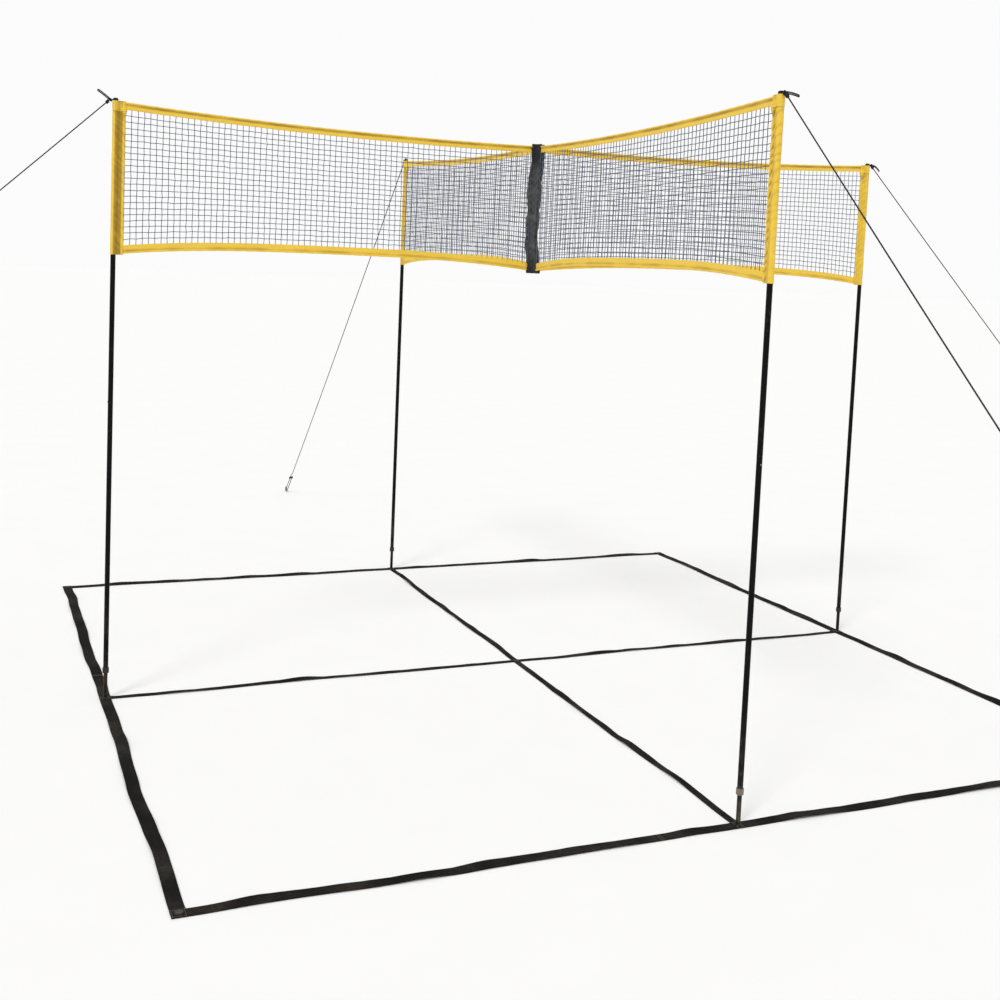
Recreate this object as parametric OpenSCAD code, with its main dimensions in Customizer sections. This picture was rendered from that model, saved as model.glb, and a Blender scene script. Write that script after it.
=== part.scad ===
// Four-way volleyball net on four poles, standing on a square court of webbing.
// Four net panels meet over the middle of the court. Each outer end hangs on a slim pole,
// and a guy rope to a ground stake holds each pole upright against the pull of the net.
// Millimetres, +Z up. The origin is on the ground at the middle of the court.
// Every side is drawn once, pointing along +X, and then turned to its place.

/* [Court] */
// Distance from the middle of the court to each pole
pole_reach = 1850; // [1200:10:2600]
// Width of the webbing that outlines the court
outline_w = 46; // [30:1:70]
// Width of the webbing that crosses the court
cross_w = 30; // [24:1:60]
// Thickness of the court webbing
strip_t = 1.6; // [1:0.1:3]
// Length over which a strip slopes up onto the one below it
strip_slope = 8; // [4:1:20]

/* [Corner pegs] */
// Diameter of the peg's shank
peg_d = 6; // [4:0.5:10]
// Length of the shank below the webbing
peg_len = 120; // [60:5:140]
// Diameter of the peg's flat head
peg_head_d = 26; // [16:1:40]
// Thickness of the peg's flat head
peg_head_t = 3; // [2:0.5:6]
// Length of the peg's point
peg_point = 12; // [6:1:18]

/* [Poles] */
// Outer diameter of the pole tubes
pole_d = 20; // [18:0.5:30]
// Wall of the pole tubes
pole_wall = 1.2; // [1:0.1:1.8]
// Height of the pole's lower end above the ground
pole_base = 122; // [115:1:300]
// Height of the joint between the lower and upper pole sections
join_height = 1270; // [900:10:1500]
// Length of the narrowed neck that pushes into the lower section
neck_len = 90; // [60:5:150]
// Length of the solid shoulder above the neck
shoulder_len = 6; // [4:1:12]

/* [Legs] */
// Outer diameter of the leg tube that telescopes in the pole
leg_d = 16; // [12:0.5:16]
// Wall of the leg tube
leg_wall = 1.2; // [1:0.1:1.8]
// Length of the leg tube
leg_len = 520; // [300:10:700]
// Diameter of the foot plug's flange
foot_d = 22; // [18:1:24]
// Thickness of the foot plug's flange
foot_t = 4; // [2:0.5:6]
// Length of the foot plug inside the leg
foot_stem_len = 25; // [10:1:60]

/* [Twist lock] */
// Outer diameter of the lock collar
collar_d = 26; // [25:0.5:34]
// Height of the lock collar
collar_h = 22; // [18:1:30]
// Height of the collar's lip around the leg
collar_lip = 3; // [2:0.5:5]
// Number of finger grooves around the collar
collar_grooves = 12; // [6:1:18]
// Depth of the finger grooves
groove_depth = 0.8; // [0.4:0.1:1.2]
// Diameter of the round cut that makes a finger groove
groove_d = 3; // [2.6:0.2:5]
// Length of the guide bush inside the pole
bush_len = 45; // [20:5:90]
// Thickness of the bush's flange under the pole
bush_flange = 2; // [1:0.5:4]
// Height of the slit collet that the collar squeezes on the leg
collet_h = 8; // [5:0.5:10]
// Wall of the collet's fingers
collet_wall = 1.2; // [0.8:0.1:1.4]
// Width of the slits between the collet's fingers
collet_slit = 1.4; // [0.8:0.1:2.5]

/* [Snap buttons] */
// Diameter of the button
button_d = 6; // [4:0.5:8]
// How far the button stands out of the pole
button_out = 2.5; // [1:0.5:4]
// Distance of the button below the joint
button_drop = 42; // [20:1:50]
// Thickness of the leaf spring that carries the button
leaf_t = 0.8; // [0.5:0.1:1]
// Width of the leaf spring
leaf_w = 5; // [3:0.5:6]
// Length of the leaf spring below the button
leaf_len = 34; // [20:1:40]
// Room that the leaf leaves for the button's travel
leaf_room = 3.4; // [3.2:0.1:4.5]

/* [Pole heads] */
// Thickness of the cap's flange on the pole's end
cap_flange = 4; // [2:0.5:8]
// Length of the cap's plug inside the pole
cap_plug_len = 25; // [10:1:60]
// Diameter of the cap's waist, which the guy rope is tied round
cap_waist_d = 11; // [8:0.5:14]
// Height of the cap's waist
cap_waist_h = 7; // [6:0.5:12]
// Diameter of the cap's head
cap_head_d = 17; // [16:0.5:24]
// Height of the cap's head
cap_head_h = 4; // [3:0.5:8]

/* [Net] */
// Height of the net's top edge at the poles
net_top = 2430; // [2100:5:2600]
// Height of the net's bottom edge at the poles
net_bottom = 1822; // [1560:2:1900]
// How much lower the top edge is at the middle of the court than at the poles
centre_drop = 40; // [0:2:80]
// Sag of each panel's top edge between pole and middle
top_sag = 20; // [0:1:60]
// Rise of each panel's bottom edge between pole and middle
bottom_rise = 38; // [0:1:80]
// Width of the top tape
top_tape_w = 30; // [24:1:60]
// Width of the bottom tape
bottom_tape_w = 34; // [24:1:60]
// Thickness of one layer of tape
tape_t = 1.2; // [0.8:0.1:2]
// Diameter of the cords inside the tapes' hems
cord_d = 4.4; // [3:0.2:6]
// Openings along each panel that stand for the fine mesh
mesh_columns = 15; // [6:1:15]
// Openings up each panel that stand for the fine mesh
mesh_rows = 5; // [2:1:5]
// Width of the netting's cords in the solid
mesh_w = 3; // [2:0.5:8]
// Thickness of the netting
mesh_t = 2; // [1:0.5:4]

/* [Sleeves] */
// Width of the flattened sleeve from the pole's outer side to the net
sleeve_w = 50; // [40:1:80]
// Thickness of the sleeve's fabric
sleeve_t = 1.7; // [1:0.1:3]
// Height of the doubled band at the sleeve's top
sleeve_band_h = 41; // [20:1:80]
// How much thicker the doubled band is on each side
sleeve_band_t = 0.6; // [0.4:0.1:1.5]

/* [Centre strap] */
// Width of the strap across the meeting of the panels
strap_w = 60; // [40:2:100]
// Thickness of the strap's folded layers
strap_t = 5; // [3:0.5:8]
// Diameter of the strap's gathered core
strap_core_d = 18; // [10:1:30]
// How far the strap stands above and below the tapes
strap_proud = 8; // [0:1:30]

/* [Guy ropes] */
// Distance along the ground from a pole to its stake
guy_reach = 2600; // [1800:10:3200]
// Diameter of the guy rope
rope_d = 5; // [4:0.5:8]
// Diameter of the knot at the pole's head
knot_d = 16; // [10:0.5:20]
// Number of turns round the rope below the knot
knot_turns = 3; // [2:1:5]
// Length of the rope's free tail at the knot
tail_len = 60; // [20:5:100]
// Upward slope of the tail, in degrees
tail_slope = 40; // [30:5:60]
// Distance of the runner from the stake, up the rope
runner_up = 170; // [130:5:400]
// Thickness of the runner along the rope
runner_t = 12; // [8:1:20]
// Height of the runner's bar
runner_h = 10; // [9:0.5:16]
// Width of the runner's bar beside its holes
runner_edge = 8; // [6:0.5:14]
// Length above the runner over which the standing rope draws in line with the pole
strand_taper = 90; // [40:5:200]
// Diameter of the stopper knot at the rope's end
stopper_d = 11; // [10:0.5:13]

/* [Guy stakes] */
// Diameter of the stake's rod
stake_d = 8; // [6:0.5:12]
// Length of the stake in the ground
stake_len = 205; // [150:5:300]
// Length of the stake's point
stake_point = 16; // [8:1:30]
// Distance of the rope from the ground, along the stake
loop_up = 20; // [14:1:30]
// Distance of the stake's bend from the ground, along the stake
bend_up = 38; // [34:1:60]
// Radius of the stake's bend
bend_r = 13; // [12:0.5:20]
// Length of the stake's hooked end after its bend
hook_len = 14; // [6:1:30]

/* [Fits] */
// Radial gap of a plug, neck or bush in its tube
plug_gap = 0.1; // [0.05:0.05:0.2]
// Radial gap of a piece that slides or turns
slide_gap = 0.15; // [0.1:0.05:0.25]
// Gap between soft pieces and what they touch
soft_gap = 0.3; // [0.2:0.05:0.5]

/* [Hidden] */
$fn = 48;

// The direction of each side, as a turn about +Z from +X
RIGHT = 0;
BACK = 90;
LEFT = 180;
FRONT = 270;
SIDES = [LEFT, RIGHT, BACK, FRONT];

// Colours
BLACK_PAINT = "#1d1e21";
BARE_METAL = "#a3a7ab";
BLACK_PLASTIC = "#222326";
PALE_PLASTIC = "#c9cbc8";
WEBBING = "#26272b";
YELLOW_TAPE = "#d9b13a";
SLEEVE_YELLOW = "#d4a92f";
NETTING = "#5f6672";
WHITE_CORD = "#d8d6cb";
ROPE = "#3a3c42";

// Chamfer of moulded and turned rims
chamfer = 1;
// Diameter of a point's blunt tip
tip_d = 1;
// How far a cutter runs past its solid
over = 1;

// Bores and seats of the tubes
pole_bore = pole_d - 2 * pole_wall;
leg_bore = leg_d - 2 * leg_wall;
neck_d = pole_bore - 2 * plug_gap;
neck_bore = neck_d - 2 * pole_wall;
foot_z = 2 * strip_t;
leg_z = foot_z + foot_t;
pole_top = net_top - cap_flange;
collet_d = leg_d + 2 * (slide_gap + collet_wall);
collar_z = pole_base - bush_flange - collet_h - soft_gap - collar_lip;

// Panel ends, measured from the middle of the court
panel_start = strap_w / 2 + soft_gap;
panel_end = pole_reach + pole_d / 2 + sleeve_t + soft_gap - sleeve_w;
hem_pocket = cord_d + 2 * soft_gap;
hem_t = hem_pocket + 2 * tape_t;

// Guy rope: the stake leans so that its rod stands square to the rope
tie_r = pole_d / 2 + soft_gap + sleeve_t + sleeve_band_t + soft_gap + knot_d / 2;
tie_x = pole_reach + tie_r;
tie_z = net_top + cap_waist_h / 2;
guy_run = pole_reach + guy_reach - tie_x;
guy_span = norm([guy_run, tie_z]);
stake_lean = acos(loop_up / guy_span) - atan2(guy_run, tie_z);
rope_span = guy_run * cos(stake_lean) + tie_z * sin(stake_lean);
loop_r = stake_d / 2 + rope_d / 2 + slide_gap;
knot_start = knot_d / 2;
knot_end = knot_start + knot_turns * rope_d;

// ---------- Curves of the net ----------

// Share of the way from the middle of the court (0) to the pole (1)
function along(x) = x / pole_reach;

// Top edge: a straight fall to the middle with a shallow sag below it
function top_z(x) =
    let (s = along(x)) net_top - centre_drop * (1 - s) - top_sag * 4 * s * (1 - s);

// Bottom edge: level ends and a flat-topped rise between them
function bottom_z(x) =
    let (s = along(x)) net_bottom + bottom_rise * (1 - pow(abs(2 * s - 1), 3));

// Stations that the tapes, cords and netting share
function station(i) = panel_start + (panel_end - panel_start) * i / mesh_columns;
STATIONS = [for (i = [0:mesh_columns]) station(i)];

// Height of the netting at a station, from its bottom (0) to its top (1)
function mesh_z(i, v) =
    let (low = bottom_z(station(i)) + bottom_tape_w, high = top_z(station(i)) - top_tape_w)
    low + (high - low) * v;

// The same height anywhere between two stations
function mesh_z_at(i, part, v) = mesh_z(i, v) * (1 - part) + mesh_z(i + 1, v) * part;

// ---------- Shared shapes ----------

// Turns what points along +X to face one side
module at_side(side) {
    rotate([0, 0, side]) children();
}

// Repeats a piece on all four sides
module on_each_side() {
    for (side = SIDES) at_side(side) children();
}

// A tube standing on the ground plane
module tube(outer, inner, height) {
    rotate_extrude() translate([inner / 2, 0]) square([(outer - inner) / 2, height]);
}

// Stands a flat outline in the plane of a net panel, centred on its thickness
module upright(thickness) {
    rotate([90, 0, 0]) linear_extrude(thickness, center = true) children();
}

// A tube with six or more sides along a path in the XY plane
module swept_tube(path, diameter, sides) {
    last = len(path) - 1;
    function heading(i) =
        let (a = path[max(i - 1, 0)], b = path[min(i + 1, last)], d = b - a) d / norm(d);
    rings = [
        for (i = [0:last]) for (k = [0:sides - 1])
            let (h = heading(i), a = 360 * k / sides, r = diameter / 2)
            [path[i][0] - h[1] * r * cos(a), path[i][1] + h[0] * r * cos(a), r * sin(a)]
    ];
    walls = [
        for (i = [0:last - 1]) for (k = [0:sides - 1])
            let (a = i * sides + k, b = i * sides + (k + 1) % sides)
            for (face = [[a, a + sides, b], [b, a + sides, b + sides]]) face
    ];
    ends = [
        for (k = [1:sides - 2])
            for (face = [[0, k, k + 1], [last * sides, last * sides + k + 1, last * sides + k]]) face
    ];
    polyhedron(rings, concat(walls, ends));
}

// The frame of a guy rope: its origin is where the stake enters the ground,
// +Z runs up the stake and +X runs down the rope
module guy_frame() {
    translate([pole_reach + guy_reach, 0, 0]) rotate([0, stake_lean, 0]) children();
}

// ---------- Court ----------

// A strip of webbing along X that climbs over the strips it crosses
module webbing(width, pegged, over_ends, over_middle) {
    tip = pole_reach + outline_w / 2;
    inner = pole_reach - outline_w / 2 - soft_gap;
    middle = cross_w / 2 + soft_gap;
    end_lift = [[inner - strip_slope, 0], [inner, strip_t], [tip, strip_t]];
    half = concat(
        over_middle ? [[0, strip_t], [middle, strip_t], [middle + strip_slope, 0]] : [[0, 0]],
        over_ends ? end_lift : [[tip, 0]]
    );
    underside = concat([for (i = [len(half) - 1:-1:1]) [-half[i][0], half[i][1]]], half);
    topside = [for (i = [len(underside) - 1:-1:0]) underside[i] + [0, strip_t]];
    color(WEBBING) difference() {
        upright(width) polygon(concat(underside, topside));
        if (pegged) for (end = [-1, 1]) translate([end * pole_reach, 0, -over])
            cylinder(d = peg_d + 2 * soft_gap, h = 2 * strip_t + 2 * over);
    }
}

// The two outlines along X lie on the ground, and those along Y lie over their ends
module outline(side, over_ends) {
    at_side(side) translate([pole_reach, 0, 0]) rotate([0, 0, 90])
        webbing(outline_w, true, over_ends, false);
}

module cross_strip(turn, over_middle) {
    rotate([0, 0, turn]) webbing(cross_w, false, true, over_middle);
}

// Pegs through both layers of webbing at each corner
module corner_pegs() {
    color(BLACK_PLASTIC) on_each_side() translate([pole_reach, pole_reach, 0]) {
        translate([0, 0, foot_z]) {
            cylinder(d = peg_head_d, h = peg_head_t);
            translate([0, 0, peg_head_t])
                cylinder(d1 = peg_head_d, d2 = peg_head_d - 6 * chamfer, h = chamfer);
        }
        translate([0, 0, -peg_len]) cylinder(d = peg_d, h = peg_len + foot_z + chamfer);
        translate([0, 0, -peg_len - peg_point]) cylinder(d1 = tip_d, d2 = peg_d, h = peg_point);
    }
}

// ---------- Legs and twist locks ----------

module leg(side) {
    color(BARE_METAL) at_side(side) translate([pole_reach, 0, leg_z]) tube(leg_d, leg_bore, leg_len);
}

module foot_plugs() {
    color(BLACK_PLASTIC) on_each_side() translate([pole_reach, 0, foot_z]) {
        cylinder(d = foot_d, h = foot_t);
        cylinder(d = leg_bore - 2 * plug_gap, h = foot_t + foot_stem_len);
    }
}

// A bush in the pole's lower end that guides the leg, with a slit collet under it
module guide_bushes() {
    color(BLACK_PLASTIC) on_each_side() translate([pole_reach, 0, pole_base - bush_flange]) {
        difference() {
            union() {
                cylinder(d = pole_d, h = bush_flange);
                cylinder(d = neck_d, h = bush_flange + bush_len);
                translate([0, 0, -collet_h]) cylinder(d = collet_d, h = collet_h + bush_flange);
            }
            translate([0, 0, -collet_h - over])
                cylinder(d = leg_d + 2 * slide_gap, h = collet_h + bush_flange + bush_len + 2 * over);
            for (turn = [0, 90]) rotate([0, 0, turn])
                translate([-pole_d, -collet_slit / 2, -collet_h - over])
                    cube([2 * pole_d, collet_slit, collet_h + over]);
        }
    }
}

// A ring that turns on the pole's end and squeezes the collet
module lock_collar(side) {
    collet_seat = collar_lip + soft_gap + collet_h;
    color(PALE_PLASTIC) at_side(side) translate([pole_reach, 0, collar_z]) difference() {
        union() {
            cylinder(d1 = collar_d - 2 * chamfer, d2 = collar_d, h = chamfer);
            translate([0, 0, chamfer]) cylinder(d = collar_d, h = collar_h - 2 * chamfer);
            translate([0, 0, collar_h - chamfer])
                cylinder(d1 = collar_d, d2 = collar_d - 2 * chamfer, h = chamfer);
        }
        translate([0, 0, -over]) cylinder(d = leg_d + 2 * slide_gap, h = collar_h + 2 * over);
        translate([0, 0, collar_lip]) cylinder(d = collet_d + 2 * slide_gap, h = collar_h);
        translate([0, 0, collet_seat - slide_gap]) cylinder(d = pole_d + 2 * slide_gap, h = collar_h);
        for (i = [0:collar_grooves - 1]) rotate([0, 0, 360 * i / collar_grooves])
            translate([collar_d / 2 - groove_depth + groove_d / 2, 0, -over])
                cylinder(d = groove_d, h = collar_h + 2 * over);
    }
}

// ---------- Poles ----------

module lower_pole(side) {
    color(BLACK_PAINT) at_side(side) translate([pole_reach, 0, 0]) difference() {
        translate([0, 0, pole_base]) tube(pole_d, pole_bore, join_height - pole_base);
        translate([0, 0, join_height - button_drop]) rotate([0, 90, 0])
            cylinder(d = button_d + 2 * slide_gap, h = pole_d);
    }
}

// The upper section narrows to a neck, and its shoulder stands on the lower section
module upper_pole(side) {
    color(BLACK_PAINT) at_side(side) translate([pole_reach, 0, 0]) difference() {
        rotate_extrude() polygon([
            [neck_bore / 2, join_height - neck_len],
            [neck_d / 2 - chamfer / 2, join_height - neck_len],
            [neck_d / 2, join_height - neck_len + 2 * chamfer],
            [neck_d / 2, join_height],
            [pole_d / 2, join_height],
            [pole_d / 2, pole_top],
            [pole_bore / 2, pole_top],
            [pole_bore / 2, join_height + shoulder_len],
            [neck_bore / 2, join_height + shoulder_len - 2 * chamfer]
        ]);
        translate([0, 0, join_height - button_drop]) rotate([0, 90, 0])
            cylinder(d = button_d + 2 * slide_gap, h = pole_d);
    }
}

// A button on a folded leaf spring inside the neck
module snap_button(side) {
    seat = sqrt(pow(neck_bore / 2, 2) - pow(leaf_w / 2, 2));
    front = seat - slide_gap;
    back = leaf_room - seat;
    bend = (front - back) / 2;
    color(BARE_METAL) at_side(side) translate([pole_reach, 0, join_height - button_drop]) {
        translate([front - leaf_t, 0, 0]) rotate([0, 90, 0])
            cylinder(d = button_d, h = pole_d / 2 + button_out - chamfer - front + leaf_t);
        translate([pole_d / 2 + button_out - chamfer, 0, 0]) rotate([0, 90, 0])
            cylinder(d1 = button_d, d2 = button_d - 2 * chamfer, h = chamfer);
        upright(leaf_w) {
            translate([front - leaf_t, -leaf_len]) square([leaf_t, leaf_len + button_d / 2]);
            translate([back, -leaf_len]) square([leaf_t, leaf_len - button_d]);
            translate([(front + back) / 2, -leaf_len]) difference() {
                circle(bend);
                circle(bend - leaf_t);
                translate([-2 * bend, 0]) square([4 * bend, 2 * bend]);
            }
        }
    }
}

// A cap with a waist that the guy rope is tied round
module pole_caps() {
    color(BLACK_PLASTIC) on_each_side() translate([pole_reach, 0, pole_top]) {
        rotate_extrude() polygon([
            [0, -cap_plug_len],
            [pole_bore / 2 - plug_gap - chamfer, -cap_plug_len],
            [pole_bore / 2 - plug_gap, chamfer - cap_plug_len],
            [pole_bore / 2 - plug_gap, 0],
            [pole_d / 2, 0],
            [pole_d / 2, cap_flange],
            [cap_waist_d / 2, cap_flange],
            [cap_waist_d / 2, cap_flange + cap_waist_h],
            [cap_head_d / 2, cap_flange + cap_waist_h],
            [cap_head_d / 2, cap_flange + cap_waist_h + cap_head_h - 2 * chamfer],
            [cap_head_d / 2 - 3 * chamfer, cap_flange + cap_waist_h + cap_head_h],
            [0, cap_flange + cap_waist_h + cap_head_h]
        ]);
    }
}

// ---------- Net ----------

// A band between two curves, each the top or bottom edge moved up or down
module band(low, high) {
    polygon(concat(
        [for (i = [0:mesh_columns]) [STATIONS[i], low[i]]],
        [for (i = [mesh_columns:-1:0]) [STATIONS[i], high[i]]]
    ));
}

function top_line(drop) = [for (x = STATIONS) top_z(x) - drop];
function bottom_line(lift) = [for (x = STATIONS) bottom_z(x) + lift];

// Netting: the panel's outline less its openings, which follow its curved edges
module net(side) {
    share = mesh_w / 2 / (station(1) - station(0));
    height = mesh_z(0, 1) - mesh_z(0, 0);
    rim = mesh_w / 2 / height;
    color(NETTING) at_side(side) upright(mesh_t) difference() {
        band(bottom_line(bottom_tape_w), top_line(top_tape_w));
        for (i = [0:mesh_columns - 1]) for (j = [0:mesh_rows - 1])
            polygon([
                for (corner = [[share, j / mesh_rows + rim], [1 - share, j / mesh_rows + rim],
                    [1 - share, (j + 1) / mesh_rows - rim], [share, (j + 1) / mesh_rows - rim]])
                    [station(i) + corner[0] * (station(1) - station(0)), mesh_z_at(i, corner[0], corner[1])]
            ]);
    }
}

// A folded tape with a hem along one edge that holds a cord
module hemmed_tape(flat_low, flat_high, hem_low, hem_high, pocket_low, pocket_high) {
    color(YELLOW_TAPE) difference() {
        union() {
            upright(2 * tape_t) band(flat_low, flat_high);
            upright(hem_t) band(hem_low, hem_high);
        }
        upright(hem_pocket) band(pocket_low, pocket_high);
    }
}

module top_tape(side) {
    at_side(side) hemmed_tape(
        top_line(top_tape_w), top_line(tape_t), top_line(hem_t), top_line(0),
        top_line(hem_t - tape_t), top_line(tape_t)
    );
}

module bottom_tape(side) {
    at_side(side) hemmed_tape(
        bottom_line(tape_t), bottom_line(bottom_tape_w), bottom_line(0), bottom_line(hem_t),
        bottom_line(tape_t), bottom_line(hem_t - tape_t)
    );
}

// The cords in the hems stop just short of the sleeves
module hem_cords(line) {
    color(WHITE_CORD) on_each_side() rotate([90, 0, 0]) swept_tube(
        [for (i = [0:mesh_columns]) [min(STATIONS[i], panel_end - soft_gap), line[i]]], cord_d, 6
    );
}

// A fabric sleeve round the pole, with a flat web that the panel is sewn to
module sleeve_part(thickness, height) {
    bore = pole_d + 2 * soft_gap;
    linear_extrude(height) difference() {
        union() {
            circle(d = bore + 2 * thickness);
            translate([panel_end - pole_reach, -thickness]) square([pole_reach - panel_end, 2 * thickness]);
        }
        circle(d = bore);
    }
}

module pole_sleeve(side) {
    color(SLEEVE_YELLOW) at_side(side) translate([pole_reach, 0, net_bottom]) {
        sleeve_part(sleeve_t, net_top - net_bottom);
        translate([0, 0, net_top - net_bottom - sleeve_band_h])
            sleeve_part(sleeve_t + sleeve_band_t, sleeve_band_h);
    }
}

// The strap gathers the four panels: a folded arm to each and a round core
module centre_strap() {
    low = bottom_z(0) - strap_proud;
    high = top_z(0) + strap_proud;
    color(WEBBING) translate([0, 0, low]) linear_extrude(high - low) {
        square([strap_w, strap_t], center = true);
        square([strap_t, strap_w], center = true);
        circle(d = strap_core_d);
    }
}

// ---------- Guy ropes ----------

// A loop round the cap's waist, turns round the standing rope and a free tail
module guy_knots() {
    waist_loop_r = cap_waist_d / 2 + soft_gap + rope_d / 2;
    turns = [
        for (i = [0:knot_turns - 1]) for (a = [180:-30:30])
            [rope_d / 2 * (1 + sin(a)), knot_start + rope_d * (i + (1 + cos(a)) / 2)]
    ];
    ball = [for (a = [0:30:150]) knot_d / 2 * [sin(a), -cos(a)]];
    knot = concat(ball, turns, [[rope_d / 2, knot_end], [0, knot_end]]);
    color(ROPE) on_each_side() {
        translate([pole_reach, 0, tie_z]) {
            rotate_extrude() translate([waist_loop_r, 0]) circle(d = rope_d);
            translate([waist_loop_r, 0, 0]) rotate([0, 90, 0])
                cylinder(d = rope_d, h = tie_r - waist_loop_r);
        }
        guy_frame() translate([-rope_span, 0, loop_up]) rotate([0, 90, 0])
            rotate_extrude() polygon(knot);
        translate([tie_x, 0, tie_z]) rotate([0, 90 - tail_slope, 0]) cylinder(d = rope_d, h = tail_len);
    }
}

// From the knot down to the stake, round its rod and back up to the runner
module guy_rope(side) {
    route = concat(
        [[knot_end + soft_gap - rope_span, 0], [-runner_up - strand_taper, loop_r], [-runner_up, loop_r]],
        [for (a = [90:-18:-90]) [loop_r * cos(a), loop_r * sin(a)]],
        [[-runner_up - runner_t / 2 - stopper_d / 2, -loop_r]]
    );
    color(ROPE) at_side(side) guy_frame() translate([0, 0, loop_up]) {
        swept_tube(route, rope_d, 8);
        translate([-runner_up - runner_t / 2 - stopper_d / 2 - soft_gap, -loop_r, 0]) sphere(d = stopper_d);
    }
}

// A bar with two holes that slides on the doubled rope and holds by its tilt
module rope_runner(side) {
    hole_d = rope_d + 4 * slide_gap;
    color(BLACK_PLASTIC) at_side(side) guy_frame()
        translate([-runner_up - runner_t / 2, 0, loop_up]) rotate([0, 90, 0])
        linear_extrude(runner_t) difference() {
            union() {
                square([runner_h, 2 * loop_r + 2 * runner_edge - runner_h], center = true);
                for (end = [-1, 1]) translate([0, end * (loop_r + runner_edge - runner_h / 2)]) circle(d = runner_h);
            }
            for (end = [-1, 1]) translate([0, end * loop_r]) circle(d = hole_d);
        }
}

// A pointed rod whose head bends over, away from the pole
module guy_stakes() {
    color(BARE_METAL) on_each_side() guy_frame() {
        translate([0, 0, stake_point - stake_len]) cylinder(d = stake_d, h = stake_len - stake_point + bend_up);
        translate([0, 0, -stake_len]) cylinder(d1 = tip_d, d2 = stake_d, h = stake_point);
        translate([bend_r, 0, bend_up]) rotate([90, 0, 0]) rotate_extrude(angle = 180)
            translate([bend_r, 0]) circle(d = stake_d);
        translate([2 * bend_r, 0, bend_up - hook_len]) cylinder(d = stake_d, h = hook_len);
    }
}

leg(LEFT);  // leg_left
leg(RIGHT);  // leg_right
leg(BACK);  // leg_back
leg(FRONT);  // leg_front
foot_plugs();
outline(LEFT, true);  // outline_left
outline(RIGHT, true);  // outline_right
outline(BACK, false);  // outline_back
outline(FRONT, false);  // outline_front
cross_strip(0, false);  // cross_strip_x
cross_strip(90, true);  // cross_strip_y
corner_pegs();
guy_stakes();
guy_rope(LEFT);  // guy_rope_left
guy_rope(RIGHT);  // guy_rope_right
guy_rope(BACK);  // guy_rope_back
guy_rope(FRONT);  // guy_rope_front
lower_pole(LEFT);  // lower_pole_left
lower_pole(RIGHT);  // lower_pole_right
lower_pole(BACK);  // lower_pole_back
lower_pole(FRONT);  // lower_pole_front
upper_pole(LEFT);  // upper_pole_left
upper_pole(RIGHT);  // upper_pole_right
upper_pole(BACK);  // upper_pole_back
upper_pole(FRONT);  // upper_pole_front
guide_bushes();
pole_caps();
guy_knots();
net(LEFT);  // net_left
net(RIGHT);  // net_right
net(BACK);  // net_back
net(FRONT);  // net_front
top_tape(LEFT);  // top_tape_left
top_tape(RIGHT);  // top_tape_right
top_tape(BACK);  // top_tape_back
top_tape(FRONT);  // top_tape_front
bottom_tape(LEFT);  // bottom_tape_left
bottom_tape(RIGHT);  // bottom_tape_right
bottom_tape(BACK);  // bottom_tape_back
bottom_tape(FRONT);  // bottom_tape_front
hem_cords(top_line(hem_t / 2));  // head_cords
hem_cords(bottom_line(hem_t / 2));  // foot_cords
centre_strap();
pole_sleeve(LEFT);  // pole_sleeve_left
pole_sleeve(RIGHT);  // pole_sleeve_right
pole_sleeve(BACK);  // pole_sleeve_back
pole_sleeve(FRONT);  // pole_sleeve_front
lock_collar(LEFT);  // lock_collar_left
lock_collar(RIGHT);  // lock_collar_right
lock_collar(BACK);  // lock_collar_back
lock_collar(FRONT);  // lock_collar_front
snap_button(LEFT);  // snap_button_left
snap_button(RIGHT);  // snap_button_right
snap_button(BACK);  // snap_button_back
snap_button(FRONT);  // snap_button_front
rope_runner(LEFT);  // rope_runner_left
rope_runner(RIGHT);  // rope_runner_right
rope_runner(BACK);  // rope_runner_back
rope_runner(FRONT);  // rope_runner_front
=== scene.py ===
"""Four-way volleyball net: cloth, netting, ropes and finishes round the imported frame.

Lengths are metres in the frame's own axes: +Z up, the origin on the ground at the middle of
the court. Each side is worked out pointing along +X and then turned to its place.
"""

from __future__ import annotations

import logging
import math
from dataclasses import dataclass, field, replace
from enum import Enum

import bpy
import numpy as np
from mathutils import Matrix, Vector

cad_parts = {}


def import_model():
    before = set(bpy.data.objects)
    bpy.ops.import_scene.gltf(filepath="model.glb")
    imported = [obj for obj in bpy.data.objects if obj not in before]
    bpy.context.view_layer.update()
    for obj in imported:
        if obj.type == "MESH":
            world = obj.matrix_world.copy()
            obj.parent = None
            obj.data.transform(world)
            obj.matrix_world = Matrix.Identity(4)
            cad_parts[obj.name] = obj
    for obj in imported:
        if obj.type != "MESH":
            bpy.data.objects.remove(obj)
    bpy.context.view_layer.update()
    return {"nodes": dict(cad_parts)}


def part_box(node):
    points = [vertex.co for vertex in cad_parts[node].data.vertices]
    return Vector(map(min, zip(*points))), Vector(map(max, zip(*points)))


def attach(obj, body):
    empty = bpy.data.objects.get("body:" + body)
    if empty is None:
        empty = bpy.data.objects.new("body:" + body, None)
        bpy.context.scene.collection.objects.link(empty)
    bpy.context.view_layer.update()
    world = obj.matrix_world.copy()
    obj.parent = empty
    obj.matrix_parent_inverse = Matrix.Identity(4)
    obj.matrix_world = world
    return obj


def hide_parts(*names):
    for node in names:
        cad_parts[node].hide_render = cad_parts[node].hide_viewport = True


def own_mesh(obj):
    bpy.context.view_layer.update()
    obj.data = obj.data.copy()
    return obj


LOG = logging.getLogger("four_way_net")
TAU = 2 * math.pi
MM = 0.001
UV_NAME = "cloth"
# Tone attribute of the cloth pieces: painted light and shade, from the shade colour at 0 to the lit
# colour at 1.
TONE_NAME = "tone"
X_AXIS = np.array([1.0, 0.0, 0.0])
Y_AXIS = np.array([0.0, 1.0, 0.0])
Z_AXIS = np.array([0.0, 0.0, 1.0])

Colour = tuple[float, float, float]


# ---------- Directions ----------


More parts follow.
